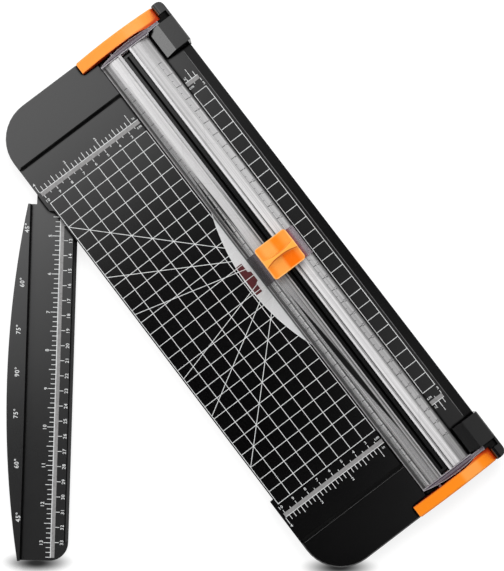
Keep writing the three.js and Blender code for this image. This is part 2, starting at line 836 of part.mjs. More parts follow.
// An arched lever at each end lifts the rail; its front tab reaches past the rail
function makeArm(side) {
  const bottom = railBottom + armSeat;
  const rearTop = bottom + armRearHeight;
  const frontTop = bottom + armTabRise + armFrontHeight;
  const crown = bottom + armCrownHeight;
  const profile = new THREE.Shape();
  profile.moveTo(armRear, bottom);
  profile.lineTo(armRear, rearTop);
  const bend = crown * 2 - (rearTop + frontTop) / 2;
  profile.quadraticCurveTo((armRear + armFront) / 2, bend, armFront, frontTop);
  profile.lineTo(armFront, bottom + armTabRise);
  profile.lineTo(-railHalfWidth, bottom);
  const bar = prismX(profile, onSide(side, armInner - armWidth, baseEnd), armChamfer, smallRoundSegments);
  const plan = new THREE.Shape();
  const inner = side * armInner;
  const shoulder = side * (armInner - armShoulder);
  plan.moveTo(side * (baseEnd + overrun), armFront - overrun);
  plan.lineTo(side * (baseEnd + overrun), armRear + overrun);
  plan.lineTo(shoulder, armRear + overrun);
  plan.lineTo(shoulder, armShoulderEnd);
  plan.quadraticCurveTo(inner, (armShoulderStart + armShoulderEnd) / 2, inner, armShoulderStart);
  plan.lineTo(inner, armFront - overrun);
  const seat = baseEnd - armScrewHead * 2;
  const holes = armScrewPlaces().flatMap((y) => [
    rodX(armScrewRadius + pinClearance, onSide(side, railEnd, baseEnd + overrun), y, armScrewZ()),
    rodX(armScrewHeadRadius + pinClearance, onSide(side, seat, baseEnd + overrun), y, armScrewZ()),
  ]);
  return cut(bar.intersect(prismZ(plan, [0, crown + overrun])), holes);
}

function makeArmScrew(side, y) {
  const headEnd = baseEnd - armScrewHead;
  const seat = headEnd - armScrewHead + seatGap;
  const z = armScrewZ();
  const half = armScrewDriveWidth / 2;
  const head = rodX(armScrewHeadRadius, onSide(side, seat, headEnd), y, z);
  const shank = rodX(armScrewRadius, onSide(side, railEnd + endFlat + slideGap, seat + seatGap), y, z);
  const slot = block(
    onSide(side, headEnd - armScrewDriveDepth, headEnd + overrun),
    [y - armScrewHeadRadius - overrun, y + armScrewHeadRadius + overrun],
    [z - half, z + half],
  );
  return head.add(shank).subtract(slot);
}

// Carriage

// Underside of the saddle, one running gap above the rail, from the middle outwards
function saddleUnderside() {
  return [
    [0, lipTop + slideGap],
    [lipEnd + slideGap, lipTop + slideGap],
    [lipEnd + slideGap + wingDrop, flatTop + slideGap],
    [flatEnd, flatTop + slideGap],
    [bevelEnd, bevelFoot + slideGap],
    [railStripOuter, edgeTop + slideGap],
  ];
}

function saddleProfile() {
  const under = saddleUnderside();
  const top = offsetLine(under, saddleThickness);
  const mirrored = (points) => points.slice(1).map(([y, z]) => [-y, z]);
  const lower = [...mirrored(under).reverse(), ...under];
  const upper = [...mirrored(top).reverse(), ...top];
  return polygon([...lower, ...upper.reverse()]);
}

function keeperScrewX() {
  return saddleWaist / 2 - postLength / 2;
}

// The opening that the blade case moves in
function caseWindow() {
  return block([-windowHalfLength, windowHalfLength], [-windowHalfWidth, windowHalfWidth], [0, capTop]);
}

function makeSaddle() {
  const waist = saddleWaist / 2;
  const capHalf = capWidth / 2 + slideGap;
  const plate = prismX(saddleProfile(), [-saddleLength / 2, saddleLength / 2]);
  const notches = [-1, 1].map((side) =>
    block(onSide(side, waist, saddleLength), [-capHalf, capHalf], [0, capTop]));
  const curbY = capWidth / 2 - capWall - slideGap;
  const curbZ = [lipTop + slideGap, saddleFlatTop + curbHeight];
  const insideX = [curbWall - waist, waist - curbWall];
  const curbInside = block(insideX, [curbWall - curbY, curbY - curbWall], [0, capTop]);
  const curb = block([-waist, waist], [-curbY, curbY], curbZ).subtract(curbInside);
  const postZ = [keeperTop + seatGap, saddleCentreTop];
  const posts = [-1, 1].map((side) =>
    block(onSide(side, waist - postLength, waist), [-keelHalf, keelHalf], postZ));
  const seats = [-springY, springY].map((y) =>
    rodZ(springRadius + springWire * 2, [lipTop + slideGap, springFoot], 0, y));
  const window = caseWindow();
  const screwHoles = [-1, 1].map((side) =>
    rodZ(keeperScrewRadius + axleClearance, [0, lipTop], side * keeperScrewX(), 0));
  return cut(joined([cut(plate, notches), curb, ...posts, ...seats]), [window, ...screwHoles]);
}

function makeKeeper() {
  const half = channelHalf - slideGap;
  const plate = block([-saddleWaist / 2, saddleWaist / 2], [-half, half], [keeperBottom, keeperTop]);
  const window = caseWindow();
  const headRoom = [0, keeperBottom + keeperScrewHead + axleClearance];
  const holes = [-1, 1].flatMap((side) => [
    rodZ(keeperScrewRadius + axleClearance, [0, lipTop], side * keeperScrewX(), 0),
    rodZ(keeperScrewHeadRadius + axleClearance, headRoom, side * keeperScrewX(), 0),
  ]);
  return cut(plate, [window, ...holes]);
}

function makeKeeperScrew(side) {
  const x = side * keeperScrewX();
  const head = rodZ(keeperScrewHeadRadius, [keeperBottom, keeperBottom + keeperScrewHead], x, 0);
  const shank = rodZ(keeperScrewRadius, [keeperBottom + keeperScrewHead / 2, lipTop - axleClearance], x, 0);
  return head.add(shank);
}

// Each half of the case is a side plate that carries one end of the axle
function makeCaseHalf(side) {
  const keelBottom = railBottom + pressRoom;
  const keel = polygon([
    [caseKeelTaper - caseReach, keelBottom],
    [caseReach - caseKeelTaper, keelBottom],
    [caseReach, keelBottom + caseKeelTaper],
    [caseReach, caseShoulderZ],
    [-caseReach, caseShoulderZ],
    [-caseReach, keelBottom + caseKeelTaper],
  ]);
  const top = new THREE.Shape();
  const rise = caseShoulderZ - bladeAxisZ;
  const angle = Math.asin(rise / caseRadius);
  top.moveTo(caseRadius * Math.cos(angle), caseShoulderZ);
  top.absarc(0, bladeAxisZ, caseRadius, angle, Math.PI - angle);
  const lower = prismY(keel, onSide(side, caseGap, keelHalf));
  const plate = lower.add(prismY(top, onSide(side, caseGap, keelHalf + caseShoulder)));
  const crest = prismY(top, onSide(side, caseSeam, caseGap + caseSeam))
    .subtract(rodY(bladeRadius + slideGap, [-keelHalf, keelHalf], 0, bladeAxisZ, largeRoundSegments));
  return plate.add(crest).subtract(rodY(axleRadius + axleClearance, [-capWidth, capWidth], 0, bladeAxisZ));
}

function makeAxle() {
  return rodY(axleRadius, [-keelHalf, keelHalf], 0, bladeAxisZ);
}

function turned(points, segments) {
  const profile = points.map(([r, y]) => new THREE.Vector2(r, y));
  const geometry = new THREE.LatheGeometry([...profile, profile[0]], segments);
  return solid(geometry.translate(0, 0, bladeAxisZ));
}

function makeBlade() {
  const half = bladeThickness / 2;
  return turned([
    [hubBossRadius + axleClearance, -half],
    [bladeRadius - bladeBevel, -half],
    [bladeRadius, 0],
    [bladeRadius - bladeBevel, half],
    [hubBossRadius + axleClearance, half],
  ], largeRoundSegments);
}

function makeHub() {
  const end = caseGap - axleClearance;
  const half = bladeThickness / 2 + axleClearance;
  return turned([
    [axleRadius + axleClearance, -half - hubFlange],
    [hubFlangeRadius, -half - hubFlange],
    [hubFlangeRadius, -half],
    [hubBossRadius, -half],
    [hubBossRadius, end],
    [axleRadius + axleClearance, end],
  ], smallRoundSegments);
}

// Slider cap

// Height of the cap's top: a ridge that narrows in the middle, with a hollow for a finger on each side
function capSurface(x, y) {
  const v = y / (capWidth / 2);
  const ridge = ridgeNeck + (ridgeFlare - ridgeNeck) * v * v;
  const u = Math.max((Math.abs(x) - ridge) / (capLength / 2 - ridge), 0);
  const hollow = Math.sin(Math.sqrt(u) * Math.PI / 2) * (1 - endDipShare * v * v);
  return capTop - scoopDepth * hollow;
}

function capOuter() {
  const geometry = new THREE.BoxGeometry(capLength, capWidth, capTop - capBottom, capGridX, capGridY, 1);
  geometry.translate(0, 0, (capTop + capBottom) / 2);
  const places = geometry.attributes.position;
  const middle = (capTop + capBottom) / 2;
  for (let i = 0; i < places.count; i += 1) {
    if (places.getZ(i) > middle) {
      places.setZ(i, capSurface(places.getX(i), places.getY(i)));
    }
  }
  const x = capLength / 2;
  const y = capWidth / 2;
  const r = capCornerRadius;
  const plan = new THREE.Shape();
  plan.moveTo(r - x, -y);
  plan.lineTo(x - r, -y);
  plan.absarc(x - r, r - y, r, -Math.PI / 2, 0);
  plan.lineTo(x, y - r);
  plan.absarc(x - r, y - r, r, 0, Math.PI / 2);
  plan.lineTo(r - x, y);
  plan.absarc(r - x, y - r, r, Math.PI / 2, Math.PI);
  plan.lineTo(-x, r - y);
  plan.absarc(r - x, r - y, r, Math.PI, Math.PI * 1.5);
  return solid(geometry).intersect(prismZ(plan, [capBottom, capTop + overrun]));
}

function makeCap() {
  const innerX = capLength / 2 - capWall;
  const innerY = capWidth / 2 - capWall;
  const hollow = block([-innerX, innerX], [-innerY, innerY], [0, capCeiling]);
  const domeHalf = keelHalf + caseShoulder + slideGap;
  const dome = rodY(caseRadius + slideGap, [-domeHalf, domeHalf], 0, bladeAxisZ, largeRoundSegments);
  return cut(capOuter(), [hollow, dome]);
}

// Cap springs

class Helix extends THREE.Curve {
  getPoint(t, target = new THREE.Vector3()) {
    const angle = t * springTurns * Math.PI * 2;
    const height = capCeiling - springFoot - springWire * 2 - seatGap * 2;
    return target.set(springRadius * Math.cos(angle), springRadius * Math.sin(angle), height * t);
  }
}

function makeSpring(y) {
  const section = new THREE.Shape();
  section.absarc(0, 0, springWire, 0, Math.PI * 2);
  const geometry = new THREE.ExtrudeGeometry(section, {
    steps: springTurns * springStepsPerTurn,
    curveSegments: springSides,
    extrudePath: new Helix(),
  });
  return solid(geometry.translate(0, y, springFoot + springWire + seatGap));
}

// Assembly

const group = new THREE.Group();

function placeBase() {
  group.add(piece("base_deck", makeBase(), blackPlastic));
  group.add(piece("cutting_strip", makeCuttingStrip(), blackRubber));
  group.add(piece("halfmoon_inlay", makeMoonInlay(), silverInlay));
  for (const [corner, place] of Object.entries(footPlaces())) {
    group.add(piece(`foot_${corner}`, makeFoot(place), blackRubber));
  }
  group.add(piece("hinge_pin_right", makeHingePin(1), brightSteel));
  group.add(piece("hinge_pin_left", makeHingePin(-1), brightSteel));
  group.add(piece("ruler_pivot_washer", makePivotWasher(), brightSteel));
  group.add(piece("ruler_pivot_screw", makePivotScrew(), brightSteel));
}

function placeRuler() {
  const turn = new THREE.Group();
  turn.position.set(pivotX, pivotY, 0);
  turn.rotation.z = THREE.MathUtils.degToRad(-restAngle);
  turn.add(piece("side_ruler", makeSideRuler(), greyPlastic));
  group.add(turn);
}

function placeRail() {
  group.add(piece("clear_rail", makeClearRail(), clearPlastic));
  group.add(piece("rail_strip_rear", makeRailStrip(1), silverStrip));
  group.add(piece("rail_strip_front", makeRailStrip(-1), silverStrip));
  for (const [end, side] of [["right", 1], ["left", -1]]) {
    group.add(piece(`lift_arm_${end}`, makeArm(side), orangePlastic));
    for (const y of armScrewPlaces()) {
      const place = y > 0 ? "rear" : "front";
      group.add(piece(`arm_screw_${end}_${place}`, makeArmScrew(side, y), brightSteel));
    }
  }
}

function placeCarriage() {
  const carriage = new THREE.Group();
  carriage.position.x = carriageRest;
  carriage.add(piece("carriage_saddle", makeSaddle(), smokedPlastic));
  carriage.add(piece("carriage_keeper", makeKeeper(), blackPlastic));
  carriage.add(piece("keeper_screw_right", makeKeeperScrew(1), brightSteel));
  carriage.add(piece("keeper_screw_left", makeKeeperScrew(-1), brightSteel));
  carriage.add(piece("cap_spring_rear", makeSpring(springY), brightSteel));
  carriage.add(piece("cap_spring_front", makeSpring(-springY), brightSteel));
  carriage.add(piece("slider_cap", makeCap(), orangePlastic));
  carriage.add(piece("blade_case_rear", makeCaseHalf(1), blackPlastic));
  carriage.add(piece("blade_case_front", makeCaseHalf(-1), blackPlastic));
  carriage.add(piece("blade_axle", makeAxle(), brightSteel));
  carriage.add(piece("blade_hub", makeHub(), blackRubber));
  carriage.add(piece("rotary_blade", makeBlade(), groundSteel));
  group.add(carriage);
}

placeBase();
placeRuler();
placeRail();
placeCarriage();

// The origin is the middle of the whole outline, on the ground
group.updateMatrixWorld(true);
const outline = new THREE.Box3().setFromObject(group, true);
group.position.x = -(outline.min.x + outline.max.x) / 2;
group.position.y = -(outline.min.y + outline.max.y) / 2;

export default group;
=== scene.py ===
"""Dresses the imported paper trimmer: finishes, printed scales, softened edges and the studio.

Lengths in the code are millimetres in the trimmer's own frame, and become metres where a mesh is made.
"""
import json
import math

import bmesh
import bpy
from bpy.props import FloatProperty, FloatVectorProperty, PointerProperty
from mathutils import Matrix, Vector


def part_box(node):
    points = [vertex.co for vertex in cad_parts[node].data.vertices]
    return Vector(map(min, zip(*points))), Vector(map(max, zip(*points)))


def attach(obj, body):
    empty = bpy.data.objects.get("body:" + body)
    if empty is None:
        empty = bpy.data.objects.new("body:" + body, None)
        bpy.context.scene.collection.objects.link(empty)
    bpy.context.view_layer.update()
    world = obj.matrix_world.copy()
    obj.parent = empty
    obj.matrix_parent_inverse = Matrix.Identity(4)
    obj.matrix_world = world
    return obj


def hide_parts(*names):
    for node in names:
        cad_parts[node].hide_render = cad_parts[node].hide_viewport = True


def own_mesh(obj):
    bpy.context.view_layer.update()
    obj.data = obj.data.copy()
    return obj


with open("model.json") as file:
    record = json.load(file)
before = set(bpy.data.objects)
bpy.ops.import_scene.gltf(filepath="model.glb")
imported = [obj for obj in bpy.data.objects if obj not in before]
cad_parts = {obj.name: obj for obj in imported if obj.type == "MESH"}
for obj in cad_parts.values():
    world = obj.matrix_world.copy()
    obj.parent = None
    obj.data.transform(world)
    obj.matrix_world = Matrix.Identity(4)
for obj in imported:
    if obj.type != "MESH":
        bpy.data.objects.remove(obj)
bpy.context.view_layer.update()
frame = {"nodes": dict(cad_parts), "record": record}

bl_info = {
    "name": "Paper trimmer dressing",
    "version": (1, 0, 0),
    "blender": (4, 5, 0),
    "location": "View3D > Sidebar > Trimmer",
    "description": "Finishes, printed scales and studio for a lift-rail paper trimmer",
    "category": "Object",
}

MM = 0.001

# Heights
DECK_TOP = 12.0
RULER_TOP = 9.2
CHEEK_TOP = 14.0
LIP_FOOT = 18.4
SLOPE_TOP = 17.2
SLOPE_FOOT = 14.0

# Printed table: a runs along the cut from the grid's left line, b towards the front
TABLE_A0 = -125.0
TABLE_B0 = 89.78
CUT_B = -20.0
GRID_PITCH = 10.0
GRID_LENGTH = 250.0
GRID_FRONT = 80.0
REAR_GRID = (-50.0, -40.0)
ANGLE_A = 120.0
ANGLES = (45.0, 60.0, 75.0)
BAR_LEFT = (-9.9, -6.8)
BAR_RIGHT = (257.1, 260.2)
BAR_FRONT = 81.3
INCH = 25.4
# The rear ledge's crest carries a painted highlight line
LEDGE_SPAN = (-27.5, 277.5)
LEDGE_HIGHLIGHT = (-52.4, -51.95)

# Marks beside the table's bars: their reach by rank, then each figure's or sign's distance and height
INCH_REACH = {8: 4.9, 4: 4.9, 1: 3.4}
CENTIMETRE_REACH = {2: 2.1, 1: 1.2}
INCH_FIGURE = (6.4, 2.2)
CENTIMETRE_FIGURE = (4.2, 2.1)
INCH_SIGN = (2.2, 1.6)
CENTIMETRE_SIGN = (2.0, 1.4)
SIGN_ROWS = (2.2, -41.6)
MARKED_ROWS = ((4.0, 81.8), (-50.01, -42.0))

# Fine lines along the two cheeks, and how high they stand: painted shadow at the cheeks' feet and on the left
# cheek's edge, and a painted highlight on the right cheek's edge
CHEEK_SPAN = (8.0, 90.5)
CHEEK_SHADOW_LANES = ((-155.0, -153.4), (152.9, 155.0))
CHEEK_SHADOW_BRINK = (-155.75, -155.05)
CHEEK_HIGHLIGHT = (155.62, 155.76)
SHADOW_LINE_HEIGHT = 0.06
CHEEK_HIGHLIGHT_HEIGHT = 0.1
LEDGE_HIGHLIGHT_HEIGHT = 0.12

# Printed figures: how bold and how wide they are set, then which way they read and face
FIGURE_WEIGHT = 0.018
FIGURE_SPACING = 1.15
READ_TO_REAR = ((0, -1), (-1, 0))
READ_TO_PIVOT = ((-1, 0), (0, -1))

# Half-moon inlay
MOON_HALF_CHORD = 55.0
MOON_DEPTH = 10.2
MOON_FRONT = 80.83
MOON_LINE = 0.5
MOON_STEPS = 48
MARK_WIDTH = (-16.0, 7.0)
MARK_DEPTH = (81.8, 86.5)
MARK_CREST = ((0.6, 86.5), (-0.6, 88.4), (-8.0, 88.4), (-9.0, 86.5))

# Side ruler: s runs from the pivot end to the tip, t towards the scale's outer edge. Marks reach by rank,
# and a figure has its place along t and its height
RULER_PIVOT = (-139.0, 24.08)
RULER_TURN = -38.67
RULER_S0 = 85.7
RULER_T0 = 5.7
RULER_SCALE = (110.5, 340.0)
RULER_BAR = (-1.0, 1.3)
RULER_BAR_EDGE = -1.6
RULER_CENTIMETRES = range(12, 34)
RULER_EIGHTHS = range(36, 108)
RULER_REACH = {10: 4.0, 4: -6.1, 1: -4.6}
RULER_CENTIMETRE_FIGURE = (5.8, 2.3)
RULER_INCH_FIGURE = (-7.7, 2.4)
RULER_ANGLE_FIGURE = 3.2
RULER_ANGLES = (
    ("45°", 122.4, -23.2),
    ("60°", 158.7, -25.4),
    ("75°", 190.0, -26.9),
    ("90°", 218.2, -26.9),
    ("75°", 245.7, -26.9),
    ("60°", 278.6, -25.4),
    ("45°", 313.9, -23.2),
)
# Painted sheen on the ruler's upper faces towards the pivot
PIVOT_SHEEN = (0.052, 0.052, 0.0525)

# Rail, measured from the middle of the slot. A mark has its reach and width, a figure its place and height
CUT_Y = 109.78
LIP = (3.2, 5.5)
RIM = 18.0
RIM_TOP = 14.9
RIM_END = 174.0
HINGE_EYE = 29.8
REAR_SHOULDER = 11.5
# Where the painted dark-red shade runs along the arms' inner side
ARM_SHADE_SPAN = (181.3, 179.5)
SLOPE_START = 13.25
SLOPE_END = 18.1
RAIL_TICKS = (-30.0, 280.0)
RAIL_SCALE_LINE = (13.0, 13.15)
RAIL_LONG_MARK = (15.5, 0.5)
RAIL_SHORT_MARK = (14.2, 0.3)
RAIL_FIGURE = (16.6, 1.6)

# Orange cap, and the springs under it
CAP_X = -4.5
SPRING_RADIUS = 2.0
SPRING_WIRE = 0.3
SPRING_TURNS = 3.5
COIL_SIDES = 8
COIL_STEPS = 24

# Tones of the silver inlay, of the orange pieces, of the saddle and of the clear rail's ends. Beside the
# scratches and rubbed edges, these are painted light and shade: shade along the inlay's chord and in the
# orange's crevices, the arms' painted light and inner shade, the saddle's shade and reflection of the cap,
# the cap's highlights and shade, and the rail ends' highlight and reflection of the arms
INLAY_SCRATCH = (0.3, 0.3, 0.3)
INLAY_CHORD_SHADE = (0.03, 0.03, 0.03)
ORANGE_WORN = (1.0, 0.56, 0.22)
ORANGE_CREVICE_SHADE = (0.5, 0.035, 0.003)
ARM_LEFT_LIGHT = (1.0, 0.33, 0.05)
ARM_LIT = (1.0, 0.38, 0.08)
ARM_INNER_SHADE = (0.55, 0.045, 0.003)
SADDLE_FRONT_SHADE = (0.2, 0.19, 0.2)
SADDLE_CAP_REFLECTION = (0.6, 0.12, 0.16)
CAP_RIDGE_HIGHLIGHT = (1.0, 0.43, 0.07)
CAP_RIM_HIGHLIGHT = (1.0, 0.5, 0.16)
CAP_CREASE_SHADOW = (0.62, 0.1, 0.002)
CAP_FRONT_SHADING = ((1.0, 0.37, 0.065), (1.0, 0.24, 0.004))
CAP_REAR_SHADE = ((1.0, 0.23, 0.004), (1.0, 0.175, 0.001))
# Bands across the clear ends: a painted white highlight at the rim, dark and grey-violet bands, and a painted
# red reflection of the arms
RAIL_END_TONES = (
    ((174.3, 174.8), (0.9, 0.86, 0.9)),
    ((175.2, 175.6), (0.09, 0.06, 0.1)),
    ((175.9, 176.5), (0.36, 0.31, 0.36)),
    ((177.4, 177.7), (0.16, 0.11, 0.15)),
    ((178.1, 179.4), (0.3, 0.03, 0.01)),
)

# Rounding of the finer edges, as a share of the edge radius
CLEAR_ROUNDING = 0.6
STRIP_ROUNDING = 0.4
ARM_ROUNDING = 1.4

# What the finishes share
DUST = (0.35, 0.34, 0.32)
RUBBER_DUST = (0.4, 0.39, 0.37)
LEVEL_FACE = (0.8, 0.95)
ACRYLIC_IOR = 1.49

# Studio, in metres: where the lamps stand and aim, the card overhead, the floor
KEY_PLACE = (-0.7, 0.75, 1.35)
FRONT_PLACE = (-0.5, -0.9, 0.8)
LAMP_AIM = (0, 0.08, 0)
CARD_CORNERS = ((-2.6, -6.0), (2.6, -6.0), (2.6, 5.0), (-2.6, 5.0))
CARD_HEIGHT = 1.6
FLOOR_DROP = 0.0002
TOWARDS_KEY = (-0.72, 0.55, 0.42)

# The photograph's downward direction in the trimmer's plane, and the turn that levels it
DOWN = (0.794, -0.605)
DOWN_TURN = -52.74

# Dark pools of shade on the floor, in metres: at the ruler's tip and at the base's front right corner
SHADOW_POOLS = ((0.0595, -0.1419, 0.0), (0.1833, 0.0163, 0.0))
SHADOW_SPREAD = (1 / 0.029, 1 / 0.0085, 0.0)


# Settings


def colour_setting(name, description, default):
    """A colour that the sidebar shows"""
    return FloatVectorProperty(
        name=name, description=description, subtype="COLOR", default=default, min=0, max=1
    )


class TrimmerPrintSettings(bpy.types.PropertyGroup):
    """Printed scales and lines"""

    line_width: FloatProperty(
        name="Line width",
        description="Width of a printed line",
        default=0.45 * MM,
        min=0.1 * MM,
        max=1.5 * MM,
        precision=5,
        unit="LENGTH",
    )
    ink_height: FloatProperty(
        name="Ink height",
        description="How far the ink stands above the surface",
        default=0.03 * MM,
        min=0.01 * MM,
        max=0.2 * MM,
        precision=6,
        unit="LENGTH",
    )
    white: colour_setting("White ink", "Colour of the lines and numbers", (0.68, 0.69, 0.69))
    bar: colour_setting("Scale bar", "Colour of the broad bar behind a scale", (0.27, 0.265, 0.265))
    dark: colour_setting("Dark ink", "Colour of the marks on the silver strips", (0.06, 0.06, 0.065))
    mark: colour_setting("Inlay mark", "Colour of the plain mark on the inlay", (0.08, 0.006, 0.009))


class TrimmerBodySettings(bpy.types.PropertyGroup):
    """Base, ruler and rail"""

    edge_radius: FloatProperty(
        name="Edge radius",
        description="Rounding along the moulded edges",
        default=0.45 * MM,
        min=0.05 * MM,
        max=1.0 * MM,
        precision=5,
        unit="LENGTH",
    )
    base: colour_setting("Base plastic", "Colour of the base moulding", (0.0013, 0.0012, 0.0014))
    ruler: colour_setting("Ruler plastic", "Colour of the swing-out ruler", (0.0105, 0.0105, 0.0108))
    silver: colour_setting("Silver strip", "Colour of the brushed strips on the rail", (0.63, 0.622, 0.626))
    inlay: colour_setting("Half-moon inlay", "Colour of the satin inlay", (0.64, 0.64, 0.645))
    clear: colour_setting("Clear plastic", "Tint of the clear rail", (0.93, 0.93, 0.94))


class TrimmerCarriageSettings(bpy.types.PropertyGroup):
    """Cap, saddle and arms"""

    orange: colour_setting("Orange plastic", "Colour of the cap and the lift arms", (1.0, 0.265, 0.01))
    smoke: colour_setting("Smoked plastic", "Tint of the saddle under the cap", (0.7, 0.63, 0.68))


class TrimmerStudioSettings(bpy.types.PropertyGroup):
    """Camera and lights"""

    camera_place: FloatVectorProperty(
        name="Camera place",
        description="Where the camera stands",
        subtype="TRANSLATION",
        unit="LENGTH",
        default=(0.072555, 0.044246, 1.33571),
    )
    camera_turn: FloatVectorProperty(
        name="Camera turn",
        description="Turn of the camera about X, Y and Z",
        subtype="EULER",
        unit="ROTATION",
        default=(math.radians(3.523057), math.radians(0.559523), math.radians(52.742796)),
    )
    lens: FloatProperty(
        name="Lens",
        description="Focal length of the camera",
        subtype="DISTANCE_CAMERA",
        default=126.095,
        min=10,
    )
    fill: FloatProperty(
        name="Fill light",
        description="Even light from all round",
        default=0.55,
        min=0,
    )
    key: FloatProperty(
        name="Key light",
        description="Strength of the large lamp over the rear left",
        subtype="POWER",
        unit="POWER",
        default=17.0,
        min=0,
    )


# Meshes


def object_from(bm, name, *materials):
    """A new object from a bmesh in metres, with its normals outwards"""
    bmesh.ops.recalc_face_normals(bm, faces=bm.faces)
    mesh = bpy.data.meshes.new(name)
    bm.to_mesh(mesh)
    bm.free()
    for material in materials:
        mesh.materials.append(material)
    made = bpy.data.objects.new(name, mesh)
    bpy.context.scene.collection.objects.link(made)
    return made


def smooth_by_angle(made, angle=20):
    """Shades the faces smooth and keeps the sharp edges sharp"""
    limit = math.radians(angle)
    bm = bmesh.new()
    bm.from_mesh(made.data)
    for face in bm.faces:
        face.smooth = True
    for edge in bm.edges:
        edge.smooth = edge.is_manifold and edge.calc_face_angle(0) < limit
    bm.to_mesh(made.data)
    bm.free()


def softened(node, name, radius, material, corner=35, shortest=1.2):
    """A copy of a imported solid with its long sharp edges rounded, standing for the solid"""
    bm = bmesh.new()
    bm.from_mesh(frame["nodes"][node].data)
    bmesh.ops.remove_doubles(bm, verts=bm.verts, dist=0.001 * MM)
    flat = math.radians(0.5)
    bmesh.ops.dissolve_limit(bm, angle_limit=flat, verts=bm.verts, edges=bm.edges)
    sharp = math.radians(corner)
    long_edges = [
        edge
        for edge in bm.edges
        if edge.is_manifold
        and edge.calc_face_angle(0) > sharp
        and edge.calc_length() > shortest * MM
    ]
    bmesh.ops.bevel(
        bm, geom=long_edges, offset=radius, segments=2, profile=0.5, affect="EDGES", clamp_overlap=True
    )
    made = object_from(bm, name, material)
    smooth_by_angle(made)
    flatten = made.modifiers.new("flat faces stay flat", "WEIGHTED_NORMAL")
    flatten.mode = "FACE_AREA"
    flatten.weight = 100
    flatten.keep_sharp = True
    stands_for(made, node)
    return made


def stands_for(made, node):
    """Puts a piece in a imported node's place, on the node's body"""
    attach(made, owner_of(node))
    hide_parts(node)


def pressed_coil(node, name, material):
    """A round-wire coil in place of a packed spring"""
    low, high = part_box(node)
    wire = SPRING_WIRE * MM
    middle = (low + high) / 2
    foot, head = low.z + wire, high.z - wire
    steps = round(SPRING_TURNS * COIL_STEPS)
    up = Vector((0, 0, 1))
    bm = bmesh.new()
    rings = []
    for step in range(steps + 1):
        share = step / steps
        turn = share * SPRING_TURNS * math.tau
        out = Vector((math.cos(turn), math.sin(turn), 0))
        centre = Vector((middle.x, middle.y, foot + share * (head - foot))) + out * SPRING_RADIUS * MM
        ring = []
        for side in range(COIL_SIDES):
            angle = math.tau * side / COIL_SIDES
            ring.append(bm.verts.new(centre + wire * (out * math.cos(angle) + up * math.sin(angle))))
        rings.append(ring)
    for first, second in zip(rings, rings[1:]):
        for side in range(COIL_SIDES):
            bm.faces.new((first[side - 1], first[side], second[side], second[side - 1]))
    bm.faces.new(rings[0])
    bm.faces.new(rings[-1])
    made = object_from(bm, name, material)
    smooth_by_angle(made, 50)
    stands_for(made, node)
    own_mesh(made)


def cut_across(made, y):
    """Parts the faces of a piece along a plane across the trimmer, so that they can carry two finishes"""
    bm = bmesh.new()
    bm.from_mesh(made.data)
    whole = bm.verts[:] + bm.edges[:] + bm.faces[:]
    bmesh.ops.bisect_plane(bm, geom=whole, plane_co=(0, y * MM, 0), plane_no=(0, 1, 0))
    bm.to_mesh(made.data)
    bm.free()


def owner_of(node):
    """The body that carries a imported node"""
    for body, nodes in frame["record"]["behaviour"]["bodies"].items():
        if node in nodes:
            return body
    raise RuntimeError(f"no body carries {node}")


def give_finish(node, material):
    """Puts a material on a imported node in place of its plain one"""
    shown = frame["nodes"][node]
    shown.data.materials.clear()
    shown.data.materials.append(material)


def plain(nodes, name):
    """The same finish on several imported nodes"""
    for part in nodes:
        give_finish(part, finish(name))


# Printed marks


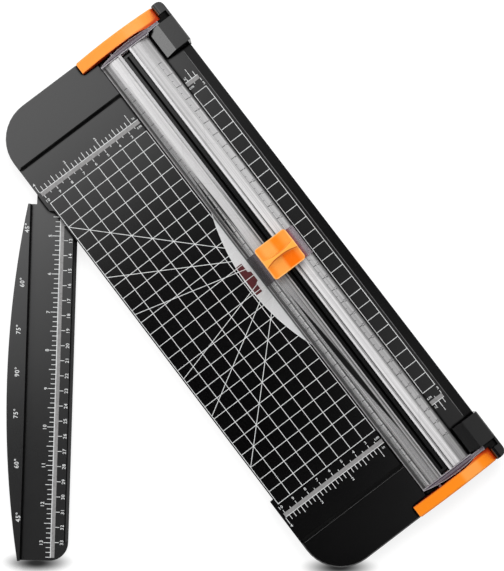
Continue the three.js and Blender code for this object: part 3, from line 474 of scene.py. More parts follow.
class Print:
    """Marks drawn flat in a scale's own coordinates, then thickened over the surface that carries them"""

    def __init__(self, place, surface):
        self.flat = bmesh.new()
        self.place = place
        self.surface = surface

    def shape(self, outline, ink=0):
        face = self.flat.faces.new([self.flat.verts.new((u, v, 0)) for u, v in outline])
        face.material_index = ink

    def bar(self, us, vs, ink=0):
        self.shape([(us[0], vs[0]), (us[1], vs[0]), (us[1], vs[1]), (us[0], vs[1])], ink)

    def line(self, start, end, width, ink=0):
        a, b = Vector(start), Vector(end)
        side = (b - a).orthogonal().normalized() * (width / 2)
        self.shape([a + side, b + side, b - side, a - side], ink)

    def grid(self, us, vs, width):
        """Crossing lines as one net, so that no two marks lie on each other"""
        half = width / 2
        columns = sorted(u + s for u in us for s in (-half, half))
        rows = sorted(v + s for v in vs for s in (-half, half))
        corners = {
            (i, j): self.flat.verts.new((u, v, 0)) for i, u in enumerate(columns) for j, v in enumerate(rows)
        }
        for i in range(len(columns) - 1):
            for j in range(len(rows) - 1):
                if i % 2 and j % 2:
                    continue
                around = ((i, j), (i + 1, j), (i + 1, j + 1), (i, j + 1))
                self.flat.faces.new([corners[c] for c in around])

    def words(self, text, at, height, along, up, ink=0):
        """Figures of a given height, centred, read along one direction with their tops towards another"""
        curve = bpy.data.curves.new("mark", "FONT")
        curve.body = text
        curve.align_x = "CENTER"
        curve.resolution_u = 3
        curve.offset = FIGURE_WEIGHT
        curve.space_character = FIGURE_SPACING
        holder = bpy.data.objects.new("mark", curve)
        bpy.context.scene.collection.objects.link(holder)
        graph = bpy.context.evaluated_depsgraph_get()
        mesh = bpy.data.meshes.new_from_object(holder.evaluated_get(graph))
        lows = [min(v.co[k] for v in mesh.vertices) for k in (0, 1)]
        highs = [max(v.co[k] for v in mesh.vertices) for k in (0, 1)]
        middle = Vector(((lows[0] + highs[0]) / 2, (lows[1] + highs[1]) / 2, 0))
        grow = height / (highs[1] - lows[1])
        turned = Matrix(((along[0], up[0], 0, 0), (along[1], up[1], 0, 0), (0, 0, 1, 0), (0, 0, 0, 1)))
        mesh.transform(
            Matrix.Translation((*at, 0)) @ turned @ Matrix.Scale(grow, 4) @ Matrix.Translation(-middle)
        )
        for polygon in mesh.polygons:
            polygon.material_index = ink
        self.flat.from_mesh(mesh)
        bpy.data.objects.remove(holder)
        bpy.data.curves.remove(curve)
        bpy.data.meshes.remove(mesh)

    def made(self, name, body, ink_height, *inks, sink=0.02):
        """Closes every mark between just under the surface and the top of the ink"""
        bmesh.ops.remove_doubles(self.flat, verts=self.flat.verts, dist=0.0005)
        solid = bmesh.new()
        low, high = {}, {}
        for vert in self.flat.verts:
            x, y = self.place(vert.co.x, vert.co.y)
            z = self.surface(x, y)
            low[vert] = solid.verts.new((x * MM, y * MM, (z - sink) * MM))
            high[vert] = solid.verts.new((x * MM, y * MM, z * MM + ink_height))
        for face in self.flat.faces:
            top = solid.faces.new([high[v] for v in face.verts])
            bottom = solid.faces.new([low[v] for v in reversed(face.verts)])
            top.material_index = bottom.material_index = face.material_index
        for edge in self.flat.edges:
            if len(edge.link_faces) == 1:
                loop = edge.link_loops[0]
                a, b = loop.vert, loop.link_loop_next.vert
                wall = solid.faces.new([low[a], low[b], high[b], high[a]])
                wall.material_index = loop.face.material_index
        self.flat.free()
        printed = object_from(solid, name, *inks)
        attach(printed, body)
        return printed


def table_place(a, b):
    return TABLE_A0 + a, TABLE_B0 - b


def ruler_place(s, t):
    turn = math.radians(RULER_TURN)
    x, y = s - RULER_S0, t + RULER_T0
    return (
        RULER_PIVOT[0] + x * math.cos(turn) - y * math.sin(turn),
        RULER_PIVOT[1] + x * math.sin(turn) + y * math.cos(turn),
    )


def same_place(x, y):
    return x, y


def level(height):
    """A flat surface at one height"""
    return lambda _x, _y: height


def wing_surface(_x, y):
    """Height of a silver strip's outer slope"""
    share = (abs(y - CUT_Y) - SLOPE_START) / (SLOPE_END - SLOPE_START)
    return SLOPE_TOP + (SLOPE_FOOT - SLOPE_TOP) * share


# Shader groups


def node(tree, kind, wires=None, **settings):
    """A shader node with its settings, and its inputs wired or set"""
    made = tree.nodes.new(kind)
    for key, value in settings.items():
        setattr(made, key, value)
    for key, value in (wires or {}).items():
        if isinstance(value, bpy.types.NodeSocket):
            tree.links.new(value, made.inputs[key])
        else:
            made.inputs[key].default_value = value
    return made


def math_node(tree, operation, first, second=0.0):
    return node(tree, "ShaderNodeMath", {0: first, 1: second}, operation=operation).outputs[0]


def chained(tree, operation, first, others):
    for other in others:
        first = math_node(tree, operation, first, other)
    return first


def times(tree, first, *others):
    return chained(tree, "MULTIPLY", first, others)


def total(tree, first, *others):
    return chained(tree, "ADD", first, others)


def strongest(tree, first, *others):
    return chained(tree, "MAXIMUM", first, others)


def less(tree, first, second):
    return math_node(tree, "SUBTRACT", first, second)


def rest_of(tree, share):
    """What is left of the whole beside a share"""
    return math_node(tree, "SUBTRACT", 1.0, share)


def unsigned(tree, value):
    return math_node(tree, "ABSOLUTE", value)


def spread(tree, value, low, high, to_low=0.0, to_high=1.0):
    """Stretches part of a value's range over another"""
    wires = {"Value": value, "From Min": low, "From Max": high, "To Min": to_low, "To Max": to_high}
    return node(tree, "ShaderNodeMapRange", wires, interpolation_type="SMOOTHSTEP").outputs["Result"]


def own_coordinates(tree, scale=(1, 1, 1), turn=0.0):
    """The piece's own coordinates in metres, stretched and turned"""
    place = node(tree, "ShaderNodeTexCoord").outputs["Object"]
    turned = {"Vector": place, "Rotation": (0, 0, turn)}
    flat = node(tree, "ShaderNodeMapping", turned).outputs["Vector"]
    return node(tree, "ShaderNodeMapping", {"Vector": flat, "Scale": scale}).outputs["Vector"]


def own_place(tree):
    """X, Y and Z of the piece's own coordinates, in metres"""
    return node(tree, "ShaderNodeSeparateXYZ", {0: own_coordinates(tree)}).outputs


def own_mm(tree):
    """X and Y of the piece's own coordinates, in mm"""
    place = own_place(tree)
    return tuple(math_node(tree, "DIVIDE", place[axis], MM) for axis in "XY")


def facing_up(tree):
    """How far a face looks up: 1 where it is level"""
    facing = node(tree, "ShaderNodeNewGeometry").outputs["Normal"]
    return node(tree, "ShaderNodeSeparateXYZ", {0: facing}).outputs["Z"]


def down_picture(tree):
    """How far a spot lies down the photograph, in metres"""
    place = own_place(tree)
    return total(tree, times(tree, place["X"], DOWN[0]), times(tree, place["Y"], DOWN[1]))


def noise(tree, place, scale, detail=3.0, roughness=0.55, distortion=0.0):
    wires = {"Vector": place, "Scale": scale, "Detail": detail}
    wires.update({"Roughness": roughness, "Distortion": distortion})
    return node(tree, "ShaderNodeTexNoise", wires).outputs[0]


def effect(name, inputs, outputs, build):
    """A shader group with named inputs and outputs, made once"""
    known = bpy.data.node_groups.get(name)
    if known:
        return known
    group = bpy.data.node_groups.new(name, "ShaderNodeTree")
    for label, value in inputs.items():
        socket = group.interface.new_socket(label, in_out="INPUT", socket_type="NodeSocketFloat")
        socket.default_value = value
    for label in outputs:
        group.interface.new_socket(label, in_out="OUTPUT", socket_type="NodeSocketFloat")
    entry = node(group, "NodeGroupInput").outputs
    results = build(group, entry)
    node(group, "NodeGroupOutput", dict(zip(outputs, results)))
    return group


def moulded_grain():
    """Fine pitted grain of a moulding, and the slow drift of its tone"""

    def build(tree, entry):
        place = own_coordinates(tree)
        pits = noise(tree, place, entry["Grain Scale"], 2.0, 0.7)
        drift = noise(tree, place, entry["Drift Scale"], 3.0)
        tone = total(tree, times(tree, pits, 0.45), times(tree, drift, 0.55))
        return pits, spread(tree, tone, 0.3, 0.7)

    return effect("moulded_grain", {"Grain Scale": 2600.0, "Drift Scale": 26.0}, ("Height", "Tone"), build)


def edge_wear():
    """Where handling has rubbed the edges, and a plain band along every edge that serves as a painted
    highlight
    """

    def build(tree, entry):
        rounded = node(tree, "ShaderNodeBevel", {"Radius": entry["Width"]}, samples=4).outputs["Normal"]
        true = node(tree, "ShaderNodeNewGeometry").outputs["Normal"]
        along = node(tree, "ShaderNodeVectorMath", {0: rounded, 1: true}, operation="DOT_PRODUCT")
        bend = rest_of(tree, along.outputs["Value"])
        patches = noise(tree, own_coordinates(tree), entry["Patch Scale"], 4.0, 0.65)
        wear_and_lit_rim = times(tree, spread(tree, bend, 0.02, 0.25), spread(tree, patches, 0.32, 0.6))
        return wear_and_lit_rim, spread(tree, bend, 0.002, 0.03)

    return effect("edge_wear", {"Width": 0.0006, "Patch Scale": 120.0}, ("Mask", "Highlight"), build)


def handling_marks():
    """Faint smudges and hairline scratches"""

    def build(tree, entry):
        smears = noise(tree, own_coordinates(tree), entry["Smudge Scale"], 5.0, 0.6, 1.2)
        lines = []
        for turn, length in ((0.5, 9.0), (-0.9, 14.0), (1.4, 11.0)):
            thin = own_coordinates(tree, (length, 1100.0, 20.0), turn)
            lines.append(spread(tree, noise(tree, thin, 1.0, 1.0), 0.69, 0.74))
        return spread(tree, smears, 0.5, 0.75), strongest(tree, *lines)

    return effect("handling_marks", {"Smudge Scale": 17.0}, ("Smudge", "Scratch"), build)


def crevice_shade():
    """How deep a spot lies in a crevice or against a step"""

    def build(tree, entry):
        open_sky = node(tree, "ShaderNodeAmbientOcclusion", {"Distance": entry["Reach"]}, samples=8)
        return (spread(tree, open_sky.outputs["AO"], 0.93, 0.7),)

    return effect("crevice_shade", {"Reach": 0.0026}, ("Mask",), build)


def settled_dust():
    """Specks and film of dust on the faces that look up"""

    def build(tree, entry):
        up = spread(tree, facing_up(tree), 0.5, 1.0)
        place = own_coordinates(tree)
        specks = spread(tree, noise(tree, place, entry["Speck Scale"], 1.0), 0.74, 0.8)
        film = spread(tree, noise(tree, place, 34.0, 4.0), 0.4, 0.8, 0.0, 0.3)
        return (times(tree, up, strongest(tree, specks, film)),)

    return effect("settled_dust", {"Speck Scale": 900.0}, ("Mask",), build)


def brushed_streaks():
    """Long fine streaks along X, as on a brushed or drawn strip"""

    def build(tree, entry):
        fine = noise(tree, own_coordinates(tree, (14.0, 5200.0, 5200.0)), 1.0, 2.0)
        broad = noise(tree, own_coordinates(tree, (5.0, 620.0, 620.0)), 1.0, 2.0)
        both = total(tree, times(tree, fine, 0.6), times(tree, broad, 0.4))
        return spread(tree, both, 0.3, 0.7), times(tree, fine, entry["Depth"])

    return effect("brushed_streaks", {"Depth": 1.0}, ("Streak", "Height"), build)


# Materials


def bare(name):
    """A material with nothing in it yet"""
    material = bpy.data.materials.new(name)
    material.use_nodes = True
    material.node_tree.nodes.clear()
    return material, material.node_tree


def surfaced(material, looks):
    """Closes a material: the shader with its inputs wired or set, and the output"""
    tree = material.node_tree
    shader = node(tree, "ShaderNodeBsdfPrincipled", looks)
    node(tree, "ShaderNodeOutputMaterial", {"Surface": shader.outputs["BSDF"]})
    return material


def use(tree, group, **values):
    """An effect group placed in a material with its own values"""
    made = node(tree, "ShaderNodeGroup", node_tree=group)
    for key, value in values.items():
        made.inputs[key.replace("_", " ").title()].default_value = value
    return made.outputs


def blend_colour(tree, share, first, second):
    mixed = node(tree, "ShaderNodeMix", data_type="RGBA")
    for socket, value in ((0, share), (6, first), (7, second)):
        if isinstance(value, bpy.types.NodeSocket):
            tree.links.new(value, mixed.inputs[socket])
        elif socket:
            mixed.inputs[socket].default_value = (*value[:3], 1)
        else:
            mixed.inputs[socket].default_value = value
    return mixed.outputs[2]


def scaled(colour, share):
    return tuple(min(part * share, 1.0) for part in colour)


def toned(tree, share, colour, low, high):
    """A colour between a darker and a paler share of itself"""
    return blend_colour(tree, share, scaled(colour, low), scaled(colour, high))


def bump(tree, height, distance, strength=1.0):
    """Surface relief, distance in mm"""
    wires = {"Height": height, "Distance": distance * MM, "Strength": strength}
    return node(tree, "ShaderNodeBump", wires).outputs["Normal"]


def moulded_plastic(name, colour, roughness=0.14, gloss=1.75, grain=2600.0, matt_sides=0.0, paler=None):
    """Black or grey moulded plastic with a fine grain, rubbed edges, painted shade in crevices and at the
    foot of steps, a paler painted sheen where a share is given, and a little dust
    """
    material, tree = bare(name)
    grains = use(tree, moulded_grain(), grain_scale=grain)
    marks = use(tree, handling_marks())
    wear_and_lit_rim = use(tree, edge_wear())["Mask"]
    dust = use(tree, settled_dust())["Mask"]
    body = toned(tree, grains["Tone"], colour, 0.8, 1.3)
    # Painted sheen: a paler tone where the given share asks for it
    if paler:
        body = blend_colour(tree, paler(tree), body, PIVOT_SHEEN)
    rubbed = blend_colour(tree, times(tree, wear_and_lit_rim, 0.5), body, scaled(colour, 3.0))
    dusted = blend_colour(tree, times(tree, dust, 0.004), rubbed, DUST)
    # Painted shade: the colour darkens in crevices and at the foot of steps, where less light reaches
    deep = use(tree, crevice_shade())["Mask"]
    polish = rest_of(tree, deep)
    if matt_sides:
        polish = times(tree, polish, spread(tree, facing_up(tree), *LEVEL_FACE, 1.0 - matt_sides, 1.0))
    rough = spread(tree, grains["Tone"], 0.0, 1.0, roughness + 0.1, roughness + 0.2)
    greasy = times(tree, marks["Smudge"], 0.05)
    scored = times(tree, marks["Scratch"], 0.12)
    looks = {
        "Base Color": blend_colour(tree, deep, dusted, scaled(colour, 0.2)),
        "Roughness": total(tree, rough, greasy, scored),
        "Normal": bump(tree, grains["Height"], 0.012, 0.7),
        "IOR": 1.12,
        "Coat Weight": polish,
        "Coat IOR": gloss,
        "Coat Roughness": roughness,
    }
    return surfaced(material, looks)


def towards_pivot(tree):
    """A share that grows from the ruler's tip to its pivot, where its upper faces get a paler painted sheen
    """
    nearer = spread(tree, down_picture(tree), 0.08, -0.03, 0.24, 0.82)
    return times(tree, spread(tree, facing_up(tree), *LEVEL_FACE), nearer)


def printed_ink(name, colour, roughness=0.5):
    """Screen-printed ink, a little thin in places"""
    material, tree = bare(name)
    thin = noise(tree, own_coordinates(tree), 700.0, 3.0, 0.7)
    faded = noise(tree, own_coordinates(tree), 30.0, 2.0)
    cover = times(tree, spread(tree, thin, 0.3, 0.55), spread(tree, faded, 0.25, 0.5, 0.75, 1.0))
    looks = {
        "Base Color": blend_colour(tree, cover, scaled(colour, 0.72), colour),
        "Roughness": spread(tree, thin, 0.3, 0.7, roughness + 0.1, roughness - 0.05),
    }
    return surfaced(material, looks)


def satin_inlay(name, colour):
    """Satin silver film of the half-moon, with a painted shade along its chord beside the rail"""
    material, tree = bare(name)
    grains = use(tree, moulded_grain(), grain_scale=1500.0, drift_scale=40.0)
    marks = use(tree, handling_marks())
    body = toned(tree, grains["Tone"], colour, 0.92, 1.06)
    scored = blend_colour(tree, times(tree, marks["Scratch"], 0.2), body, INLAY_SCRATCH)
    # Painted shade: a dark band along the chord, where the rail shades the inlay
    chord_shade = spread(tree, own_mm(tree)[1], 89.9, 90.5, 0.0, 0.9)
    looks = {
        "Base Color": blend_colour(tree, chord_shade, scored, INLAY_CHORD_SHADE),
        "Roughness": spread(tree, grains["Tone"], 0.0, 1.0, 0.36, 0.46),
        "Metallic": 0.25,
    }
    return surfaced(material, looks)


def from_slot(tree):
    """In mm: the distance from the slot's middle, the place along the rail, and that distance signed"""
    along, y = own_mm(tree)
    side = less(tree, y, CUT_Y)
    return unsigned(tree, side), along, side


def drawn_line(tree, across, along, at, half, fade, strength):
    """A fine line along the rail at a distance from the slot, coming in between two places"""
    line = spread(tree, unsigned(tree, less(tree, across, at)), half, half * 0.4, 0.0, strength)
    return times(tree, line, spread(tree, along, *fade))


def long_streak(tree, across, along, start, end, half):
    """A dark streak of painted reflection that swells between two points of the strip"""
    lean = (end[1] - start[1]) / (end[0] - start[0])
    line = total(tree, times(tree, along, lean), start[1] - lean * start[0])
    middle, reach = (start[0] + end[0]) / 2, (end[0] - start[0]) / 2
    swell = spread(tree, unsigned(tree, less(tree, along, middle)), reach, 0.0, 0.0, half)
    off = unsigned(tree, less(tree, across, line))
    return spread(tree, less(tree, swell, off), -0.1, 0.5)


def brushed_silver(name, colour, shadow_lines, highlight_lines, reflected_streaks, shade, metallic, roughness):
    """Drawn silver strip: streaks along its length, painted shadow and highlight lines along its profile,
    painted reflection streaks, painted shade, and more polish to the right
    """
    material, tree = bare(name)
    streaks = use(tree, brushed_streaks())
    marks = use(tree, handling_marks())
    wear_and_lit_rim = use(tree, edge_wear(), width=0.0004)["Mask"]
    across, along, _side = from_slot(tree)
    body = toned(tree, streaks["Streak"], colour, 0.66, 1.26)
    bright = blend_colour(tree, times(tree, wear_and_lit_rim, 0.5), body, scaled(colour, 1.3))
    scored = blend_colour(tree, times(tree, marks["Scratch"], 0.25), bright, scaled(colour, 0.6))
    pale = strongest(tree, *[drawn_line(tree, across, along, *line) for line in highlight_lines])
    lit = blend_colour(tree, pale, scored, scaled(colour, 1.45))
    dark = [drawn_line(tree, across, along, *line) for line in shadow_lines]
    dark += [long_streak(tree, across, along, *streak) for streak in reflected_streaks]
    lined = blend_colour(tree, strongest(tree, *dark), lit, scaled(colour, 0.035))
    rough = spread(tree, streaks["Streak"], 0.0, 1.0, roughness + 0.08, roughness - 0.06)
    looks = {
        "Base Color": blend_colour(tree, shade(tree, across, along), lined, scaled(colour, 0.06)),
        "Roughness": total(tree, rough, times(tree, marks["Smudge"], 0.08)),
        "Normal": bump(tree, streaks["Height"], 0.006, 0.6),
        "Metallic": times(tree, metallic(tree, across, along), rest_of(tree, pale)),
    }
    return surfaced(material, looks)


def front_polish(tree, across, along):
    """The front strip turns from satin to polished past its middle, and its slope is polished throughout"""
    slope = spread(tree, across, SLOPE_START - 0.4, SLOPE_START + 0.5)
    on_slope = times(tree, slope, spread(tree, along, -150.0, 0.0, 0.55, 0.74))
    on_flat = times(tree, rest_of(tree, slope), spread(tree, along, -45.0, 30.0, 0.22, 0.76))
    return total(tree, on_slope, on_flat)


def rear_polish(tree, across, along):
    """The rear strip is satin, and only its slope is polished towards the right"""
    slope = spread(tree, across, REAR_SHOULDER, REAR_SHOULDER + 0.6)
    return times(tree, slope, spread(tree, along, -130.0, 30.0, 0.1, 0.55))


def front_shade(tree, across, along):
    """Painted shade: the front strip darkens towards its outer edge, and its slope towards the left end"""
    slope = spread(tree, across, SLOPE_START - 0.2, SLOPE_START + 0.6)
    left = times(tree, slope, spread(tree, along, 60.0, -110.0, 0.0, 0.52))
    return strongest(tree, spread(tree, across, 15.2, 16.9, 0.0, 0.8), left)


def rear_shade(tree, across, along):
    """Painted shade: the rear strip darkens at its outer edge, towards the left end, and on its slope right
    of the middle
    """
    edge = spread(tree, across, 16.6, 18.6, 0.0, 0.85)
    slope = spread(tree, across, REAR_SHOULDER, REAR_SHOULDER + 0.6)
    right = times(tree, spread(tree, along, 30.0, 60.0, 0.0, 0.17), spread(tree, along, 150.0, 105.0))
    left = spread(tree, along, 10.0, -150.0, 0.0, 0.22)
    return strongest(tree, edge, times(tree, slope, right), left)


def rear_strip(name, settings):
    """Painted shadow and highlight lines: a line has its distance from the slot, its half width, the stretch
    where it comes in, its strength
    """
    dark = (
        (6.15, 0.45, (-110.0, -30.0), 0.95),
        (5.85, 0.3, (20.0, 120.0), 0.3),
        (12.9, 0.35, (-150.0, 20.0), 0.3),
    )
    light = ((7.4, 0.3, (-60.0, 0.0), 0.3),)
    return brushed_silver(name, settings.silver, dark, light, (), rear_shade, rear_polish, 0.4)


def front_strip(name, settings):
    """Painted shadow and highlight lines as on the rear strip, and painted reflection streaks from one point
    to another with their half width
    """
    dark = (
        (12.7, 0.45, (-120.0, -40.0), 0.8),
        (6.75, 0.35, (-30.0, 40.0), 0.5),
        (16.9, 0.7, (40.0, -130.0), 0.9),
    )
    light = (
        (5.7, 0.5, (-40.0, 20.0), 0.42),
        (10.8, 0.35, (60.0, 110.0), 0.3),
        (13.8, 0.45, (-110.0, -50.0), 0.5),
    )
    streaks = (
        ((2.0, 11.1), (155.0, 6.1), 2.0),
        ((30.0, 6.6), (200.0, 6.5), 0.5),
        ((-100.0, 14.3), (-10.0, 15.6), 1.1),
        ((-100.0, 12.6), (-12.0, 11.4), 0.8),
        ((-70.0, 17.6), (5.0, 17.4), 0.5),
    )
    return brushed_silver(name, settings.silver, dark, light, streaks, front_shade, front_polish, 0.26)


def rail_tones(tree, body):
    """The rail's clear ends in bands: a painted white highlight at the rim, dark and grey-violet bands
    within, and a painted reflection of the arms' red at their outer side
    """
    along = unsigned(tree, own_mm(tree)[0])
    for limits, colour in RAIL_END_TONES:
        body = blend_colour(tree, spread(tree, along, *limits), body, colour)
    return body


def saddle_tones(tree, body):
    """The smoked saddle: a painted shade in front of the cap, and a painted reflection of the cap's red
    behind it
    """
    side = from_slot(tree)[2]
    front = blend_colour(tree, spread(tree, side, -11.0, -16.0), body, SADDLE_FRONT_SHADE)
    red = times(tree, spread(tree, side, 16.0, 13.5), spread(tree, side, 11.5, 12.5, 0.0, 0.8))
    return blend_colour(tree, red, front, SADDLE_CAP_REFLECTION)


def lit_edge(name, colour):
    """Polished lips and rims of the clear moulding, where the light comes out white as a painted highlight,
    with painted shade along parts of the lips and over the rims
    """
    material, tree = bare(name)
    marks = use(tree, handling_marks())
    across, along, side = from_slot(tree)
    rear = spread(tree, side, -0.1, 0.1)
    lip = spread(tree, across, 10.0, 9.0)
    step = times(tree, spread(tree, across, 4.2, 5.3), spread(tree, along, -60.0, 40.0, 0.1, 0.6))
    inner = times(tree, spread(tree, across, 3.8, 3.4), spread(tree, along, 130.0, 30.0, 0.1, 0.8))
    rear_lip = times(tree, strongest(tree, step, inner), rear)
    front_line = drawn_line(tree, across, along, 4.6, 0.7, (-100.0, -40.0), 0.93)
    front = strongest(tree, spread(tree, along, -150.0, 0.0, 0.3, 0.5), front_line)
    front_lip = times(tree, front, rest_of(tree, rear))
    on_lip = times(tree, total(tree, rear_lip, front_lip), lip)
    off_lip = times(tree, spread(tree, rear, 0.0, 1.0, 0.62, 0.93), rest_of(tree, lip))
    looks = {
        "Base Color": blend_colour(tree, total(tree, on_lip, off_lip), colour, scaled(colour, 0.05)),
        "Roughness": spread(tree, marks["Smudge"], 0.0, 1.0, 0.1, 0.2),
        "Transmission Weight": 0.2,
        "IOR": ACRYLIC_IOR,
    }
    return surfaced(material, looks)


def bright_steel(name, colour=(0.56, 0.57, 0.58), roughness=0.24):
    """Turned or ground steel"""
    material, tree = bare(name)
    grains = use(tree, moulded_grain(), grain_scale=3800.0, drift_scale=180.0)
    wear_and_lit_rim = use(tree, edge_wear(), width=0.0002, patch_scale=600.0)["Mask"]
    body = toned(tree, grains["Tone"], colour, 0.85, 1.05)
    looks = {
        "Base Color": blend_colour(tree, wear_and_lit_rim, body, scaled(colour, 1.3)),
        "Roughness": spread(tree, grains["Tone"], 0.0, 1.0, roughness - 0.05, roughness + 0.09),
        "Normal": bump(tree, grains["Height"], 0.004, 0.5),
        "Metallic": 1.0,
    }
    return surfaced(material, looks)


def clear_plastic(name, tint, tones, roughness, through, rim, rim_highlight):
    """See-through moulding, a little milky, with handling marks that only show in its gloss, tones that may
    paint light and shade, and a painted white highlight along its edges where asked
    """
    material, tree = bare(name)
    grains = use(tree, moulded_grain(), grain_scale=500.0, drift_scale=60.0)
    marks = use(tree, handling_marks())
    # Less see-through mouldings take the plain edge band, which the rim highlight paints white; the others
    # take the rubbed wear
    wear_and_lit_rim = use(tree, edge_wear(), width=rim)["Mask" if through > 0.65 else "Highlight"]
    body = tones(tree, blend_colour(tree, grains["Tone"], scaled(tint, 0.93), tint))
    smudged = times(tree, marks["Smudge"], 0.05)
    rubbed = times(tree, wear_and_lit_rim, 0.2)
    scored = times(tree, marks["Scratch"], 0.12)
    looks = {
        "Base Color": blend_colour(tree, times(tree, wear_and_lit_rim, rim_highlight), body, (1.0, 0.97, 1.0)),
        "Roughness": total(tree, smudged, rubbed, scored, roughness),
        "Transmission Weight": through,
        "IOR": ACRYLIC_IOR,
    }
    return surfaced(material, looks)


def satin_orange(name, colour, tones):
    """Orange moulding, paler where its edges catch the hand and deeper where little light reaches"""
    material, tree = bare(name)
    grains = use(tree, moulded_grain(), grain_scale=2200.0, drift_scale=45.0)
    marks = use(tree, handling_marks())
    wear_and_lit_rim = use(tree, edge_wear(), width=0.0007)["Mask"]
    body = tones(tree, colour)
    tone = times(tree, grains["Tone"], 0.12)
    varied = blend_colour(tree, tone, body, scaled(colour, 0.7))
    rubbed = blend_colour(tree, times(tree, wear_and_lit_rim, 0.65), varied, ORANGE_WORN)
    # Painted shade: a deeper orange in crevices and along the inner sides, where little light reaches
    deep = use(tree, crevice_shade(), reach=0.009)["Mask"]
    rough = spread(tree, grains["Tone"], 0.0, 1.0, 0.2, 0.27)
    looks = {
        "Base Color": blend_colour(tree, deep, rubbed, ORANGE_CREVICE_SHADE),
        "Roughness": total(tree, rough, times(tree, marks["Smudge"], 0.1)),
        "Normal": bump(tree, grains["Height"], 0.008, 0.5),
        "IOR": 1.25,
    }
    return surfaced(material, looks)


def arm_tones(tree, colour):
    """The arms' colour with painted light: paler at the left, a painted highlight beside the slot, and a
    painted dark-red shade along their inner side
    """
    _across, along, side = from_slot(tree)
    paler = blend_colour(tree, spread(tree, along, 100.0, -100.0), colour, ARM_LEFT_LIGHT)
    beside = unsigned(tree, less(tree, side, 14.0))
    lit = blend_colour(tree, spread(tree, beside, 9.0, 5.0, 0.0, 0.8), paler, ARM_LIT)
    return blend_colour(tree, spread(tree, unsigned(tree, along), *ARM_SHADE_SPAN), lit, ARM_INNER_SHADE)


def cap_tones(tree, _colour):
    """The cap's colour as painted light and shade: a painted highlight on the ridge and the rim, hollows in
    painted shade behind and in painted light in front, deeper towards the front edge, and a painted shadow
    line along the ridge
    """
    x, y = own_mm(tree)
    u, v = less(tree, x, CAP_X), less(tree, y, CUT_Y)
    out = unsigned(tree, u)
    bend = math_node(tree, "POWER", math_node(tree, "DIVIDE", v, 12.5), 2.0)
    off_ridge = less(tree, out, total(tree, times(tree, bend, 2.3), 0.9))
    hollow = spread(tree, off_ridge, 0.0, 1.0)
    inside = times(tree, spread(tree, out, 12.0, 11.2), spread(tree, unsigned(tree, v), 12.3, 11.3))
    to_right = spread(tree, u, -1.0, 1.0)
    fading = (spread(tree, v, 9.5, 3.5, 0.25, 1.0), spread(tree, v, 11.5, 7.5, 0.3, 1.0))
    depth = times(tree, spread(tree, v, -1.4, 1.6), blend_colour(tree, to_right, *fading))
    behind = times(tree, depth, times(tree, hollow, inside))
    low = spread(tree, v, -6.5, -10.5, 0.0, 0.7)
    pale = blend_colour(tree, hollow, CAP_RIDGE_HIGHLIGHT, blend_colour(tree, low, *CAP_FRONT_SHADING))
    shaded = blend_colour(tree, behind, pale, blend_colour(tree, to_right, *CAP_REAR_SHADE))
    rimmed = blend_colour(tree, inside, CAP_RIM_HIGHLIGHT, shaded)
    fold = spread(tree, unsigned(tree, off_ridge), 0.55, 0.1)
    crease = times(tree, fold, spread(tree, u, -0.5, 0.5, 0.45, 0.9))
    return blend_colour(tree, times(tree, crease, inside), rimmed, CAP_CREASE_SHADOW)


def soft_rubber(name, colour):
    """Matt rubber with dust in its grain"""
    material, tree = bare(name)
    grains = use(tree, moulded_grain(), grain_scale=1800.0, drift_scale=70.0)
    dust = use(tree, settled_dust(), speck_scale=1500.0)["Mask"]
    body = toned(tree, grains["Tone"], colour, 0.8, 1.4)
    looks = {
        "Base Color": blend_colour(tree, times(tree, dust, 0.08), body, RUBBER_DUST),
        "Roughness": spread(tree, grains["Tone"], 0.0, 1.0, 0.75, 0.92),
        "Normal": bump(tree, grains["Height"], 0.02, 0.8),
        "IOR": 1.35,
    }
    return surfaced(material, looks)


MAKERS = {
    "moulded_black": lambda name, s: moulded_plastic(name, s.trimmer_body.base),
    "moulded_grey": lambda name, s: moulded_plastic(
        name, s.trimmer_body.ruler, 0.17, matt_sides=0.55, paler=towards_pivot
    ),
    "bead_grey": lambda name, s: moulded_plastic(name, (0.085, 0.085, 0.085), 0.3, 1.45),
    "case_black": lambda name, s: moulded_plastic(name, (0.02, 0.02, 0.021), 0.35, 1.45, 3200.0),
    "strip_black": lambda name, s: moulded_plastic(name, (0.0014, 0.0014, 0.0015), 0.16, 1.62, 1800.0),
    "drawn_silver": lambda name, s: rear_strip(name, s.trimmer_body),
    "polished_silver": lambda name, s: front_strip(name, s.trimmer_body),
    "satin_silver": lambda name, s: satin_inlay(name, s.trimmer_body.inlay),
    "clear_acrylic": lambda name, s: clear_plastic(
        name, s.trimmer_body.clear, rail_tones, 0.04, through=0.6, rim=0.0012, rim_highlight=0.9
    ),
    "smoked_acrylic": lambda name, s: clear_plastic(
        name, s.trimmer_carriage.smoke, saddle_tones, 0.08, through=0.75, rim=0.0003, rim_highlight=0.0
    ),
    "lit_edge": lambda name, s: lit_edge(name, (0.86, 0.85, 0.86)),
    "satin_orange": lambda name, s: satin_orange(name, s.trimmer_carriage.orange, arm_tones),
    "cap_orange": lambda name, s: satin_orange(name, s.trimmer_carriage.orange, cap_tones),
    "turned_steel": lambda name, s: bright_steel(name),
    "blackened_steel": lambda name, s: bright_steel(name, (0.03, 0.03, 0.032), 0.35),
    "ground_steel": lambda name, s: bright_steel(name, (0.66, 0.67, 0.68), 0.16),
    "matt_rubber": lambda name, s: soft_rubber(name, (0.012, 0.012, 0.013)),
    "eye_black": lambda name, s: soft_rubber(name, (0.0015, 0.0015, 0.0015)),
    "dusty_rubber": lambda name, s: soft_rubber(name, (0.02, 0.02, 0.021)),
    "white_ink": lambda name, s: printed_ink(name, s.trimmer_print.white),
    "bar_ink": lambda name, s: printed_ink(name, s.trimmer_print.bar),
    "dark_ink": lambda name, s: printed_ink(name, s.trimmer_print.dark),
    "mark_ink": lambda name, s: printed_ink(name, s.trimmer_print.mark, 0.4),
}


